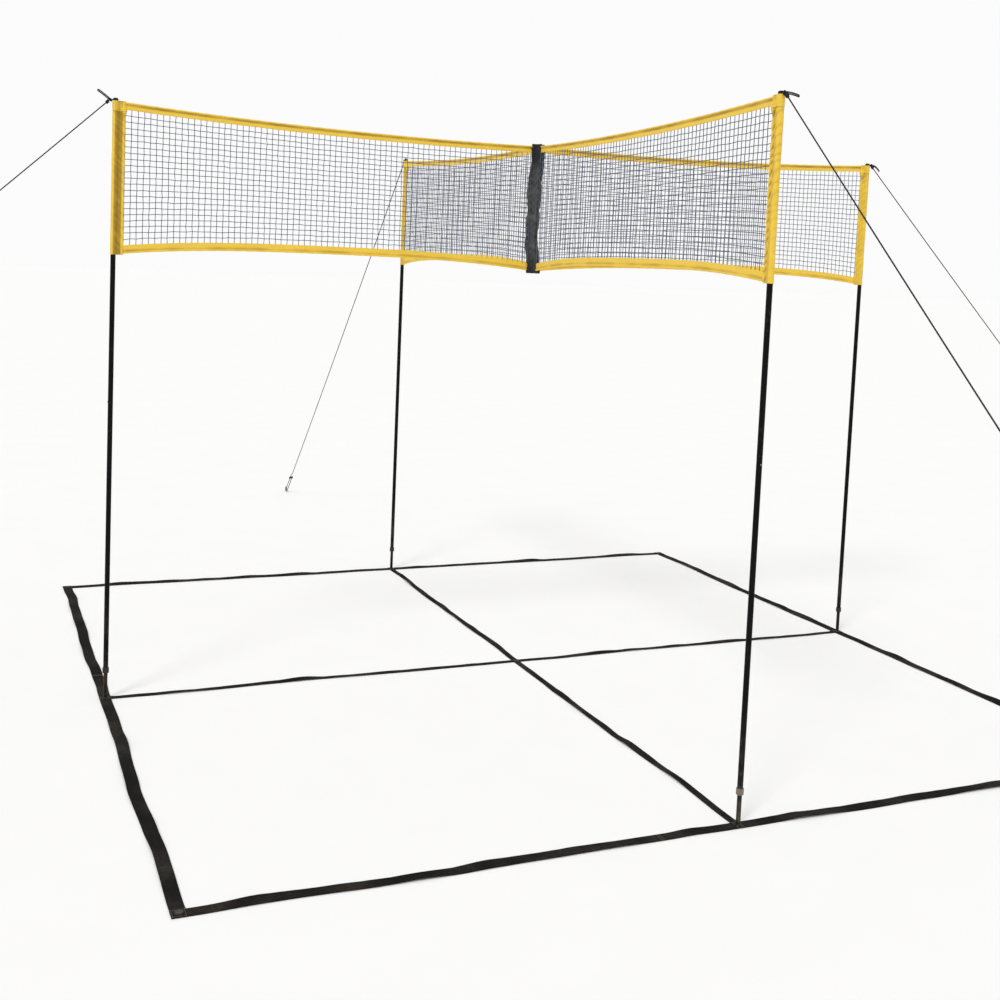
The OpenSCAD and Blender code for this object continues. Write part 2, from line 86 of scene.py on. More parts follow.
class Side(Enum):
    """The four sides, each with its turn about +Z from +X, in degrees."""

    RIGHT = 0
    BACK = 90
    LEFT = 180
    FRONT = 270

    @property
    def label(self) -> str:
        """The side's name as the frame's nodes spell it."""
        return self.name.lower()

    @property
    def seed(self) -> int:
        """A number that makes each side's folds its own."""
        return 11 + self.value

    def place(self, points: np.ndarray) -> np.ndarray:
        """Turns points drawn along +X to this side.

        Args:
            points: Array whose last axis is x, y, z.

        Returns:
            The turned points, in an array of the same shape.
        """
        angle = math.radians(self.value)
        c, s = round(math.cos(angle)), round(math.sin(angle))
        turn = np.array([[c, -s, 0.0], [s, c, 0.0], [0.0, 0.0, 1.0]])
        return points @ turn.T


# ---------- Curves and folds ----------


def smooth(share: np.ndarray | float) -> np.ndarray:
    """The smoothstep curve 3t^2 - 2t^3 of a share that is first clipped to 0..1.

    Args:
        share: Share of the way through the step.

    Returns:
        The eased share.
    """
    t = np.clip(share, 0.0, 1.0)
    return t * t * (3.0 - 2.0 * t)


def window(x: np.ndarray, low: float, high: float, reach: float) -> np.ndarray:
    """1 between two ends and 0 at them, eased over a reach.

    Args:
        x: Places along the piece.
        low: Where the window opens.
        high: Where it closes.
        reach: Length over which it opens and closes.

    Returns:
        The window's share at each place.
    """
    return smooth((x - low) / reach) * smooth((high - x) / reach)


@dataclass(frozen=True)
class Ripple:
    """Soft random folds: a sum of sines whose phases and directions come from a seed.

    value(u, v) = sum of height_k sin(2 pi (u cos t_k + v sin t_k) / length_k + phase_k)
    """

    seed: int
    lengths: tuple[float, ...]
    heights: tuple[float, ...]

    def along(self, u: np.ndarray) -> np.ndarray:
        """The folds over one length.

        Args:
            u: Places along the piece.

        Returns:
            The sum of sines at each place.
        """
        phases = np.random.default_rng(self.seed).uniform(0.0, TAU, len(self.lengths))
        waves = zip(self.lengths, self.heights, phases)
        return sum(height * np.sin(TAU * u / length + phase) for length, height, phase in waves)

    def over(self, u: np.ndarray, v: np.ndarray) -> np.ndarray:
        """The folds over a surface.

        Args:
            u: First place of each point.
            v: Second place of each point.

        Returns:
            The sum of sines at each point.
        """
        draws = np.random.default_rng(self.seed).uniform(0.0, TAU, (len(self.lengths), 2))
        waves = zip(self.lengths, self.heights, draws)
        return sum(
            height * np.sin(TAU * (u * math.cos(turn) + v * math.sin(turn)) / length + phase)
            for length, height, (turn, phase) in waves
        )


def resample(points: np.ndarray, step: float) -> np.ndarray:
    """Places evenly spaced points along a line of straight runs.

    Args:
        points: The line's corners, (n, 3).
        step: Rough distance between the new points.

    Returns:
        The new points, the first and last corner among them.
    """
    runs = np.linalg.norm(np.diff(points, axis=0), axis=1)
    reach = np.concatenate([[0.0], np.cumsum(runs)])
    count = max(2, round(reach[-1] / step) + 1)
    places = np.linspace(0.0, reach[-1], count)
    return np.stack([np.interp(places, reach, points[:, k]) for k in range(3)], axis=1)


def unit(vectors: np.ndarray) -> np.ndarray:
    """Scales vectors to length 1.

    Args:
        vectors: Array whose last axis is x, y, z.

    Returns:
        The unit vectors.
    """
    return vectors / np.maximum(np.linalg.norm(vectors, axis=-1, keepdims=True), 1e-12)


# ---------- Surfaces ----------


@dataclass
class Patch:
    """One or more closed surfaces: points, faces, and each face corner's place on the cloth."""

    points: np.ndarray
    quads: np.ndarray
    quad_uv: np.ndarray
    tris: np.ndarray
    tri_uv: np.ndarray
    tone: np.ndarray

    def turned(self, side: Side) -> "Patch":
        """The same surface turned to a side.

        Args:
            side: The side it belongs to.

        Returns:
            The turned copy.
        """
        return replace(self, points=side.place(self.points))

    def volume(self) -> float:
        """Adds up the corners' tetrahedra with the origin: sum a . (b x c) / 6.

        Returns:
            Signed volume, which is positive when the faces point outwards.
        """
        p = self.points
        corners = np.concatenate([self.tris, self.quads[:, [0, 1, 2]], self.quads[:, [0, 2, 3]]])
        a, b, c = p[corners[:, 0]], p[corners[:, 1]], p[corners[:, 2]]
        return float((a * np.cross(b, c)).sum() / 6.0)

    def outward(self) -> "Patch":
        """Turns the faces over if the surface is inside out.

        Returns:
            A surface whose faces point outwards.
        """
        if self.volume() >= 0.0:
            return self
        return replace(
            self,
            quads=self.quads[:, ::-1],
            quad_uv=self.quad_uv[:, ::-1],
            tris=self.tris[:, ::-1],
            tri_uv=self.tri_uv[:, ::-1],
        )


def join(patches: list[Patch]) -> Patch:
    """Puts several surfaces into one.

    Args:
        patches: The surfaces.

    Returns:
        One surface that holds them all.
    """
    starts = np.cumsum([0] + [len(p.points) for p in patches[:-1]])
    return Patch(
        np.concatenate([p.points for p in patches]),
        np.concatenate([p.quads + s for p, s in zip(patches, starts)]),
        np.concatenate([p.quad_uv for p in patches]),
        np.concatenate([p.tris + s for p, s in zip(patches, starts)]),
        np.concatenate([p.tri_uv for p in patches]),
        np.concatenate([p.tone for p in patches]),
    )


def skin(
    rings: np.ndarray,
    along: np.ndarray,
    around: np.ndarray,
    tone: np.ndarray | None = None,
    ring_shaped: bool = False,
) -> Patch:
    """A closed surface from rings of points.

    Quad (r, c) joins points c and c + 1 of rings r and r + 1. The last point of a ring meets its
    first. The end rings are closed by fans to their middles, unless the last ring meets the first.

    Args:
        rings: Points, (rings, points per ring, 3).
        along: Place of each ring along the cloth, in metres.
        around: Place of each point round the ring, with one more for the closing edge.
        tone: Shade attribute of each point, (rings, points per ring).
        ring_shaped: True if the last ring meets the first.

    Returns:
        The surface, facing outwards.
    """
    rows, cols = rings.shape[:2]
    last = rows if ring_shaped else rows - 1
    r, c = (a.ravel() for a in np.meshgrid(np.arange(last), np.arange(cols), indexing="ij"))
    r2, c2 = (r + 1) % rows, (c + 1) % cols
    quads = np.stack([r * cols + c, r * cols + c2, r2 * cols + c2, r2 * cols + c], axis=1)
    corner = [(r, c), (r, c + 1), (r2, c + 1), (r2, c)]
    quad_uv = np.stack([np.stack([along[i], around[j]], axis=1) for i, j in corner], axis=1)
    points = rings.reshape(-1, 3)
    shade = np.ones(len(points)) if tone is None else tone.ravel()
    tris, tri_uv = np.zeros((0, 3), int), np.zeros((0, 3, 2))
    if not ring_shaped:
        k = np.arange(cols)
        after = (k + 1) % cols
        middles = rings[[0, -1]].mean(axis=1)
        first, final = np.full(cols, len(points)), (rows - 1) * cols
        fans = [[first, after, k], [first + 1, final + k, final + after]]
        tris = np.concatenate([np.stack(fan, axis=1) for fan in fans])
        place = np.stack([np.full(cols, along[0]), around[:-1]], axis=1)
        tri_uv = np.repeat(np.concatenate([place, place])[:, None, :], 3, axis=1)
        points = np.concatenate([points, middles])
        shade = np.concatenate([shade, shade[[0, -1]]])
    return Patch(points, quads, quad_uv, tris, tri_uv, shade).outward()


def around_length(ring: np.ndarray) -> np.ndarray:
    """Distances round a closed ring, with one more for the edge that closes it.

    Args:
        ring: The ring's points, (n, 2) or (n, 3).

    Returns:
        n + 1 distances that start at 0.
    """
    edges = np.linalg.norm(np.roll(ring, -1, axis=0) - ring, axis=1)
    return np.concatenate([[0.0], np.cumsum(edges)])


def outward_normals(ring: np.ndarray) -> np.ndarray:
    """Directions square to a closed outline that has the origin inside it.

    Args:
        ring: The outline's points, (n, 2).

    Returns:
        Unit vectors out of the outline, (n, 2).
    """
    forward = unit(np.roll(ring, -1, axis=0) - np.roll(ring, 1, axis=0))
    normal = forward @ np.array([[0, 1], [-1, 0]])
    return normal * np.sign((normal * ring).sum(axis=1).sum())


def raised(shape: np.ndarray, z: np.ndarray) -> np.ndarray:
    """Gives each of several flat outlines its height.

    Args:
        shape: The outlines' points, (outlines, n, 2).
        z: Height of each outline.

    Returns:
        The points in space, (outlines, n, 3).
    """
    heights = np.broadcast_to(z[:, None, None], (*shape.shape[:2], 1))
    return np.concatenate([shape, heights], axis=2)


@dataclass(frozen=True)
class Strand:
    """A round cord of twisted strands, carried along a path.

    The radius is r (1 - depth + depth |cos(strands (a - 2 pi s / lay) / 2)|) at angle a and
    distance s.
    """

    radius: float
    sides: int = 12
    strands: int = 3
    lay: float = 0.028
    depth: float = 0.16

    def along(self, path: np.ndarray, aside: np.ndarray) -> Patch:
        """Carries the cord along a path.

        Args:
            path: Centre of each ring, (n, 3).
            aside: A direction that the path never runs along, (3,) or (n, 3).

        Returns:
            The closed cord.
        """
        forward = unit(np.gradient(path, axis=0))
        first = unit(np.cross(np.broadcast_to(aside, path.shape), forward))
        second = np.cross(forward, first)
        reach = np.concatenate([[0.0], np.cumsum(np.linalg.norm(np.diff(path, axis=0), axis=1))])
        angle = TAU * np.arange(self.sides) / self.sides
        twist = self.strands * (angle[None, :] - TAU * reach[:, None] / self.lay) / 2.0
        radius = self.radius * (1.0 - self.depth + self.depth * np.abs(np.cos(twist)))
        rings = (
            path[:, None, :]
            + (radius * np.cos(angle))[..., None] * first[:, None, :]
            + (radius * np.sin(angle))[..., None] * second[:, None, :]
        )
        return skin(rings, reach, np.linspace(0.0, 1.0, self.sides + 1))


@dataclass(frozen=True)
class Stitch:
    """One stitch of thread: a slim double pyramid that lies along its seam."""

    length: float = 3.6 * MM
    width: float = 0.9 * MM
    height: float = 0.9 * MM

    def sewn(self, centres: np.ndarray, along: np.ndarray, up: np.ndarray) -> Patch:
        """Sews one stitch at each centre.

        Args:
            centres: Middles of the stitches, (n, 3).
            along: Directions of the seam, (n, 3).
            up: Directions out of the cloth, (n, 3).

        Returns:
            All the stitches in one surface.
        """
        across = np.cross(up, along)
        steps = [
            along * self.length / 2, -along * self.length / 2, across * self.width / 2,
            -across * self.width / 2, up * self.height / 2, -up * self.height / 2,
        ]
        points = np.stack([centres + s for s in steps], axis=1).reshape(-1, 3)
        faces = np.array(
            [[0, 2, 4], [2, 1, 4], [1, 3, 4], [3, 0, 4], [2, 0, 5], [1, 2, 5], [3, 1, 5], [0, 3, 5]]
        )
        tris = (np.arange(len(centres))[:, None, None] * len(steps) + faces).reshape(-1, 3)
        nothing = np.zeros((0, 4), int)
        uv = np.zeros((len(tris), 3, 2))
        return Patch(points, nothing, np.zeros((0, 4, 2)), tris, uv, np.ones(len(points))).outward()

    def seam(self, line: np.ndarray, up: np.ndarray, pitch: float = 5.5 * MM) -> Patch:
        """Sews a seam along a line.

        Args:
            line: The seam's corners, (n, 3).
            up: Direction out of the cloth, (3,).
            pitch: Distance from one stitch to the next.

        Returns:
            The seam's stitches.
        """
        centres = resample(line, pitch)
        forward = unit(np.gradient(centres, axis=0))
        return self.sewn(centres, forward, np.broadcast_to(up, centres.shape))


def make_piece(
    name: str, patch: Patch, finish: bpy.types.Material, body: str
) -> bpy.types.Object:
    """Makes a surface a piece of the scene that rides on a body.

    Args:
        name: The piece's name.
        patch: Its surface.
        finish: Its material.
        body: The body that it moves with.

    Returns:
        The new object, with its place in its mesh.
    """
    mesh = bpy.data.meshes.new(name)
    mesh.vertices.add(len(patch.points))
    mesh.vertices.foreach_set("co", patch.points.ravel())
    corners = np.concatenate([patch.quads.ravel(), patch.tris.ravel()]).astype(np.int32)
    mesh.loops.add(len(corners))
    mesh.loops.foreach_set("vertex_index", corners)
    quad_starts = 4 * np.arange(len(patch.quads))
    tri_starts = patch.quads.size + 3 * np.arange(len(patch.tris))
    starts = np.concatenate([quad_starts, tri_starts]).astype(np.int32)
    mesh.polygons.add(len(starts))
    mesh.polygons.foreach_set("loop_start", starts)
    mesh.polygons.foreach_set("use_smooth", np.ones(len(starts), bool))
    mesh.update(calc_edges=True)
    uv = np.concatenate([patch.quad_uv.reshape(-1, 2), patch.tri_uv.reshape(-1, 2)])
    mesh.uv_layers.new(name=UV_NAME).uv.foreach_set("vector", uv.astype(np.float32).ravel())
    shade = mesh.attributes.new(TONE_NAME, "FLOAT", "POINT")
    shade.data.foreach_set("value", patch.tone.astype(np.float32))
    mesh.materials.append(finish)
    piece = bpy.data.objects.new(name, mesh)
    bpy.context.scene.collection.objects.link(piece)
    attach(piece, body)
    LOG.info("%s: %d points, rides on %s", name, len(patch.points), body)
    return piece


# ---------- Shader trees ----------

Feed = float | tuple | bpy.types.NodeSocket


class Wiring:
    """Short calls that add nodes to one tree and link them."""

    def __init__(self, tree: bpy.types.NodeTree) -> None:
        """Keeps the tree that the calls add to."""
        self.tree = tree

    def feed(self, socket: bpy.types.NodeSocket, value: Feed) -> None:
        """Links a socket, or sets its value.

        Args:
            socket: The input.
            value: An output to link, or a plain value.
        """
        if isinstance(value, bpy.types.NodeSocket):
            self.tree.links.new(value, socket)
        else:
            socket.default_value = value

    def add(self, kind: str, feeds: dict | None = None, **settings: object) -> bpy.types.Node:
        """Adds a node.

        Args:
            kind: Its type's identifier.
            feeds: Values and links for its inputs, by name or number.
            **settings: Its own properties.

        Returns:
            The new node.
        """
        node = self.tree.nodes.new(kind)
        for key, value in settings.items():
            setattr(node, key, value)
        for key, value in (feeds or {}).items():
            self.feed(node.inputs[key], value)
        return node

    def math(self, operation: str, *feeds: Feed) -> bpy.types.NodeSocket:
        """One arithmetic step.

        Args:
            operation: The Math node's operation.
            *feeds: Its inputs in order.

        Returns:
            The result.
        """
        return self.add("ShaderNodeMath", dict(enumerate(feeds)), operation=operation).outputs[0]

    def noise(self, place: Feed, scale: Feed, detail: float = 3.0) -> bpy.types.NodeSocket:
        """Soft noise from 0 to 1.

        Args:
            place: Coordinates that it follows.
            scale: Its cells to the metre.
            detail: Its octaves.

        Returns:
            The noise's value.
        """
        feeds = {"Vector": place, "Scale": scale, "Detail": detail}
        return self.add("ShaderNodeTexNoise", feeds).outputs[0]

    def between(self, value: Feed, low: Feed, high: Feed) -> bpy.types.NodeSocket:
        """Stretches low..high to 0..1 with soft ends.

        Args:
            value: What is stretched.
            low: The value that gives 0.
            high: The value that gives 1.

        Returns:
            The stretched value.
        """
        feeds = {"Value": value, "From Min": low, "From Max": high}
        return self.add("ShaderNodeMapRange", feeds, interpolation_type="SMOOTHSTEP").outputs[0]

    def blend(self, share: Feed, first: Feed, second: Feed) -> bpy.types.NodeSocket:
        """Mixes two colours.

        Args:
            share: Share of the second.
            first: The first colour.
            second: The second colour.

        Returns:
            The mixed colour.
        """
        feeds = {0: share, 6: first, 7: second}
        return self.add("ShaderNodeMix", feeds, data_type="RGBA").outputs[2]

    def bump(self, height: Feed, distance: float, strength: float = 1.0) -> bpy.types.NodeSocket:
        """A bumped normal.

        Args:
            height: The relief, from 0 to 1.
            distance: The relief's depth in metres.
            strength: Share of the relief that shows.

        Returns:
            The normal.
        """
        feeds = {"Height": height, "Distance": distance, "Strength": strength}
        return self.add("ShaderNodeBump", feeds).outputs[0]

    def place(self) -> bpy.types.NodeSocket:
        """Object coordinates."""
        return self.add("ShaderNodeTexCoord").outputs["Object"]

    def cloth(self) -> bpy.types.NodeSocket:
        """The place on the cloth or cord, in metres along and round it."""
        return self.add("ShaderNodeUVMap", uv_map=UV_NAME).outputs[0]

    def tone(self) -> bpy.types.NodeSocket:
        """The piece's own shade attribute."""
        return self.add("ShaderNodeAttribute", attribute_name=TONE_NAME).outputs["Fac"]


class Effect(Enum):
    """Effects that several finishes share, each one node group."""

    MOTTLE = "mottle"
    WEAVE = "weave"
    DUST = "dust"
    SCUFF = "scuff"
    TWIST = "twist"


@dataclass
class Effects:
    """Builds each shared effect once and places it in any tree."""

    built: dict[Effect, bpy.types.NodeTree] = field(default_factory=dict)

    def use(self, wiring: Wiring, effect: Effect, **feeds: Feed) -> bpy.types.Node:
        """Places an effect in a tree.

        Args:
            wiring: The tree's calls.
            effect: Which effect.
            **feeds: Values and links for its inputs, by name.

        Returns:
            The group node.
        """
        if effect not in self.built:
            self.built[effect] = getattr(self, f"_{effect.value}")()
        node = wiring.add("ShaderNodeGroup", node_tree=self.built[effect])
        for name, value in feeds.items():
            wiring.feed(node.inputs[name], value)
        return node

    @staticmethod
    def _group(name: str, inputs: dict[str, Feed], outputs: dict[str, str]) -> tuple:
        """Starts a group.

        Args:
            name: Its name.
            inputs: Its inputs and what they are when nothing feeds them.
            outputs: Its outputs and their kinds, Float or Color.

        Returns:
            The tree, its calls, its inputs by name and its output node.
        """
        tree = bpy.data.node_groups.new(name, "ShaderNodeTree")
        kinds = {4: "NodeSocketColor", 3: "NodeSocketVector", 1: "NodeSocketFloat"}
        for key, value in inputs.items():
            size = len(value) if isinstance(value, tuple) else 1
            socket = tree.interface.new_socket(key, in_out="INPUT", socket_type=kinds[size])
            socket.default_value = value
        for key, kind in outputs.items():
            tree.interface.new_socket(key, in_out="OUTPUT", socket_type=f"NodeSocket{kind}")
        wiring = Wiring(tree)
        entry, end = wiring.add("NodeGroupInput"), wiring.add("NodeGroupOutput")
        return tree, wiring, entry.outputs, end

    def _mottle(self) -> bpy.types.NodeTree:
        """Uneven dye: the colour's brightness follows noise of a given scale.

        Returns:
            The group's tree.
        """
        inputs = {"Colour": (1.0, 1.0, 1.0, 1.0), "Scale": 8.0, "Amount": 0.2}
        tree, w, entry, end = self._group("mottle", inputs, {"Colour": "Color"})
        level = w.math("SUBTRACT", w.noise(w.place(), entry["Scale"], 4.0), 0.5)
        value = w.math("MULTIPLY_ADD", level, w.math("MULTIPLY", entry["Amount"], 2.0), 1.0)
        feeds = {"Color": entry["Colour"], "Value": value}
        w.feed(end.inputs[0], w.add("ShaderNodeHueSaturation", feeds).outputs[0])
        return tree

    def _weave(self) -> bpy.types.NodeTree:
        """Plain weave: height = (1 + sin(pi u / warp) sin(pi v / weft)) / 2.

        Returns:
            The group's tree.
        """
        inputs = {"Place": (0.0, 0.0, 0.0), "Warp": 0.001, "Weft": 0.001}
        tree, w, entry, end = self._group("weave", inputs, {"Height": "Float"})
        parts = w.add("ShaderNodeSeparateXYZ", {0: entry["Place"]}).outputs
        waves = [
            w.math("SINE", w.math("DIVIDE", w.math("MULTIPLY", parts[k], math.pi), entry[name]))
            for k, name in enumerate(("Warp", "Weft"))
        ]
        w.feed(end.inputs[0], w.math("MULTIPLY_ADD", w.math("MULTIPLY", *waves), 0.5, 0.5))
        return tree

    def _dust(self) -> bpy.types.NodeTree:
        """Dust in drifts: covers where noise passes a level, less with height over the ground.

        Returns:
            The group's tree.
        """
        broad_levels, fine_levels, fine_scale = (0.35, 0.75), (0.3, 0.7), 14.0
        fine_share = 0.6
        inputs = {
            "Colour": (0.0, 0.0, 0.0, 1.0), "Dust": (0.4, 0.33, 0.25, 1.0),
            "Amount": 0.5, "Scale": 12.0, "Ceiling": 0.3,
        }
        tree, w, entry, end = self._group("dust", inputs, {"Colour": "Color", "Cover": "Float"})
        place = w.place()
        height = w.add("ShaderNodeSeparateXYZ", {0: place}).outputs["Z"]
        low = w.math("SUBTRACT", 1.0, w.between(height, 0.0, entry["Ceiling"]))
        broad = w.between(w.noise(place, entry["Scale"], 6.0), *broad_levels)
        specks = w.noise(place, w.math("MULTIPLY", entry["Scale"], fine_scale))
        fine = w.math(
            "MULTIPLY_ADD", w.between(specks, *fine_levels), fine_share, 1.0 - fine_share
        )
        drift = w.math("MULTIPLY", broad, fine)
        cover = w.math("MULTIPLY", w.math("MULTIPLY", drift, low), entry["Amount"])
        w.feed(end.inputs["Colour"], w.blend(cover, entry["Colour"], entry["Dust"]))
        w.feed(end.inputs["Cover"], cover)
        return tree

    def _scuff(self) -> bpy.types.NodeTree:
        """Scuffs: short scratches where stretched noise peaks inside worn areas.

        Returns:
            The group's tree.
        """
        scratch_scale, scratch_levels = 420.0, (0.6, 0.72)
        worn_scale, worn_levels = 9.0, (0.45, 0.7)
        inputs = {
            "Colour": (0.0, 0.0, 0.0, 1.0), "Bare": (0.3, 0.3, 0.3, 1.0),
            "Amount": 0.3, "Stretch": (1.0, 1.0, 0.1),
        }
        tree, w, entry, end = self._group("scuff", inputs, {"Colour": "Color", "Mask": "Float"})
        place = w.place()
        feeds = {0: place, 1: entry["Stretch"]}
        drawn = w.add("ShaderNodeVectorMath", feeds, operation="MULTIPLY").outputs[0]
        scratch = w.between(w.noise(drawn, scratch_scale, 2.0), *scratch_levels)
        scuffing_and_painted_shade = w.between(w.noise(place, worn_scale), *worn_levels)
        mask = w.math("MULTIPLY", w.math("MULTIPLY", scratch, scuffing_and_painted_shade), entry["Amount"])
        w.feed(end.inputs["Colour"], w.blend(mask, entry["Colour"], entry["Bare"]))
        w.feed(end.inputs["Mask"], mask)
        return tree

    def _twist(self) -> bpy.types.NodeTree:
        """Yarns laid round a cord: height = |sin(pi (yarns v + u / lay))|.

        Returns:
            The group's tree.
        """
        inputs = {"Place": (0.0, 0.0, 0.0), "Lay": 0.01, "Yarns": 9.0}
        tree, w, entry, end = self._group("twist", inputs, {"Height": "Float"})
        parts = w.add("ShaderNodeSeparateXYZ", {0: entry["Place"]}).outputs
        run = w.math("DIVIDE", parts[0], entry["Lay"])
        turns = w.math("MULTIPLY_ADD", parts[1], entry["Yarns"], run)
        wave = w.math("SINE", w.math("MULTIPLY", turns, math.pi))
        w.feed(end.inputs[0], w.math("ABSOLUTE", wave))
        return tree


@dataclass(frozen=True)
class Finish:
    """One finish: its name, the slot it belongs to, its colour, roughness and specular level."""

    name: str
    slot: str
    colour: Colour
    roughness: float
    gloss: float = 0.3

    @property
    def rgba(self) -> tuple[float, float, float, float]:
        """The colour with full opacity."""
        return (*self.colour, 1.0)

    def make(self, effects: Effects) -> bpy.types.Material:
        """Builds the material.

        Args:
            effects: The shared effects.

        Returns:
            The material.
        """
        material = bpy.data.materials.new(self.name)
        material.use_nodes = True
        wiring = Wiring(material.node_tree)
        shader = material.node_tree.nodes["Principled BSDF"]
        shader.inputs["Base Color"].default_value = self.rgba
        shader.inputs["Roughness"].default_value = self.roughness
        shader.inputs["Specular IOR Level"].default_value = self.gloss
        material.diffuse_color = self.rgba
        self.dress(wiring, shader.inputs, effects)
        return material

    def dress(self, w: Wiring, shader: bpy.types.NodeInputs, effects: Effects) -> None:
        """Adds what the finish has beyond its colour and roughness.

        Args:
            w: The calls of the material's tree.
            shader: The shader's inputs.
            effects: The shared effects.
        """


@dataclass(frozen=True)
class Enamel(Finish):
    """Painted or plain drawn metal with scuffs along its length and dust at its foot."""

    metal: float = 0.0
    bare: Colour = (0.30, 0.30, 0.31)
    scuffs: float = 0.35
    dust: float = 0.6
    dust_rough: float = 0.4
    scuff_rough: float = 0.15
    peel_scale: float = 900.0
    peel: float = 0.06 * MM

    def dress(self, w: Wiring, shader: bpy.types.NodeInputs, effects: Effects) -> None:
        """Scuffs, dust near the ground and an orange-peel relief.

        Args:
            w: The calls of the material's tree.
            shader: The shader's inputs.
            effects: The shared effects.
        """
        mottled = effects.use(w, Effect.MOTTLE, Colour=self.rgba, Scale=30.0, Amount=0.12)
        scuffed = effects.use(
            w, Effect.SCUFF, Colour=mottled.outputs[0], Bare=(*self.bare, 1.0), Amount=self.scuffs
        )
        feeds = {"Colour": scuffed.outputs["Colour"], "Scale": 30.0, "Ceiling": 0.45}
        dusted = effects.use(w, Effect.DUST, Amount=self.dust, **feeds).outputs
        w.feed(shader["Base Color"], dusted["Colour"])
        rough = w.math("MULTIPLY_ADD", dusted["Cover"], self.dust_rough, self.roughness)
        rougher = w.math("MULTIPLY_ADD", scuffed.outputs["Mask"], self.scuff_rough, rough)
        w.feed(shader["Roughness"], rougher)
        shader["Metallic"].default_value = self.metal
        w.feed(shader["Normal"], w.bump(w.noise(w.place(), self.peel_scale, 2.0), self.peel))


@dataclass(frozen=True)
class Moulded(Finish):
    """Moulded plastic with a fine spark-eroded grain and dust near the ground."""

    dust: float = 0.4
    scratched: Colour = (0.34, 0.34, 0.34)
    grain_scale: float = 2600.0
    grain: float = 0.08 * MM

    def dress(self, w: Wiring, shader: bpy.types.NodeInputs, effects: Effects) -> None:
        """A fine grain, light scratches and dust.

        Args:
            w: The calls of the material's tree.
            shader: The shader's inputs.
            effects: The shared effects.
        """
        scuffed = effects.use(
            w, Effect.SCUFF, Colour=self.rgba, Bare=(*self.scratched, 1.0), Amount=0.25
        )
        feeds = {"Colour": scuffed.outputs["Colour"], "Scale": 60.0, "Ceiling": 0.6}
        dusted = effects.use(w, Effect.DUST, Amount=self.dust, **feeds)
        w.feed(shader["Base Color"], dusted.outputs["Colour"])
        w.feed(shader["Normal"], w.bump(w.noise(w.place(), self.grain_scale, 2.0), self.grain))


@dataclass(frozen=True)
class Woven(Finish):
    """Woven cloth or webbing, with painted light and shade where the piece's tone says so."""

    warp: float = 0.9 * MM
    weft: float = 0.9 * MM
    relief: float = 0.25 * MM
    # Colour of the painted shade, at the tone's low end and in the weave's hollows.
    dark: Colour = (0.3, 0.2, 0.05)
    mottle: float = 0.12
    dust: float = 0.0
    sheen: float = 0.15
    shaded: float = 0.35
    crease_scale: float = 60.0
    crease: float = 1.6

    def dress(self, w: Wiring, shader: bpy.types.NodeInputs, effects: Effects) -> None:
        """Weave, uneven dye, painted light and shade of tone and weave, dust on the ground.

        Args:
            w: The calls of the material's tree.
            shader: The shader's inputs.
            effects: The shared effects.
        """
        dark = (*self.dark, 1.0)
        weave = effects.use(w, Effect.WEAVE, Place=w.cloth(), Warp=self.warp, Weft=self.weft)
        height = weave.outputs[0]
        # Painted light and shade from the tone attribute.
        toned = w.blend(w.tone(), dark, self.rgba)
        mottled = effects.use(w, Effect.MOTTLE, Colour=toned, Scale=14.0, Amount=self.mottle)
        # Painted shade in the weave's hollows.
        hollow = w.math("MULTIPLY_ADD", height, -self.shaded, self.shaded)
        shade = w.blend(hollow, mottled.outputs[0], dark)
        if self.dust:
            feeds = {"Colour": shade, "Scale": 5.0, "Ceiling": 0.4}
            shade = effects.use(w, Effect.DUST, Amount=self.dust, **feeds).outputs["Colour"]
        w.feed(shader["Base Color"], shade)
        crumple = w.noise(w.place(), self.crease_scale)
        creases = w.math("MULTIPLY_ADD", crumple, self.crease, height)
        w.feed(shader["Normal"], w.bump(creases, self.relief))
        shader["Sheen Weight"].default_value = self.sheen
        shader["Sheen Roughness"].default_value = 0.5


@dataclass(frozen=True)
class Laid(Finish):
    """Cord laid from yarns, with a soft fuzz of uneven dye."""

    lay: float = 6 * MM
    yarns: float = 12.0
    relief: float = 0.2 * MM
    # Colour of the painted shade between the yarns.
    dark: Colour = (0.02, 0.02, 0.025)
    shaded: float = 0.6
    sheen: float = 0.04

    def dress(self, w: Wiring, shader: bpy.types.NodeInputs, effects: Effects) -> None:
        """Yarns round the cord, with painted shade between them.

        Args:
            w: The calls of the material's tree.
            shader: The shader's inputs.
            effects: The shared effects.
        """
        twist = effects.use(w, Effect.TWIST, Place=w.cloth(), Lay=self.lay, Yarns=self.yarns)
        yarn = twist.outputs[0]
        mottled = effects.use(w, Effect.MOTTLE, Colour=self.rgba, Scale=40.0, Amount=0.2)
        # Painted shade between the yarns.
        hollow = w.math("MULTIPLY_ADD", yarn, -self.shaded, self.shaded)
        w.feed(shader["Base Color"], w.blend(hollow, mottled.outputs[0], (*self.dark, 1.0)))
        w.feed(shader["Normal"], w.bump(yarn, self.relief))
        shader["Sheen Weight"].default_value = self.sheen


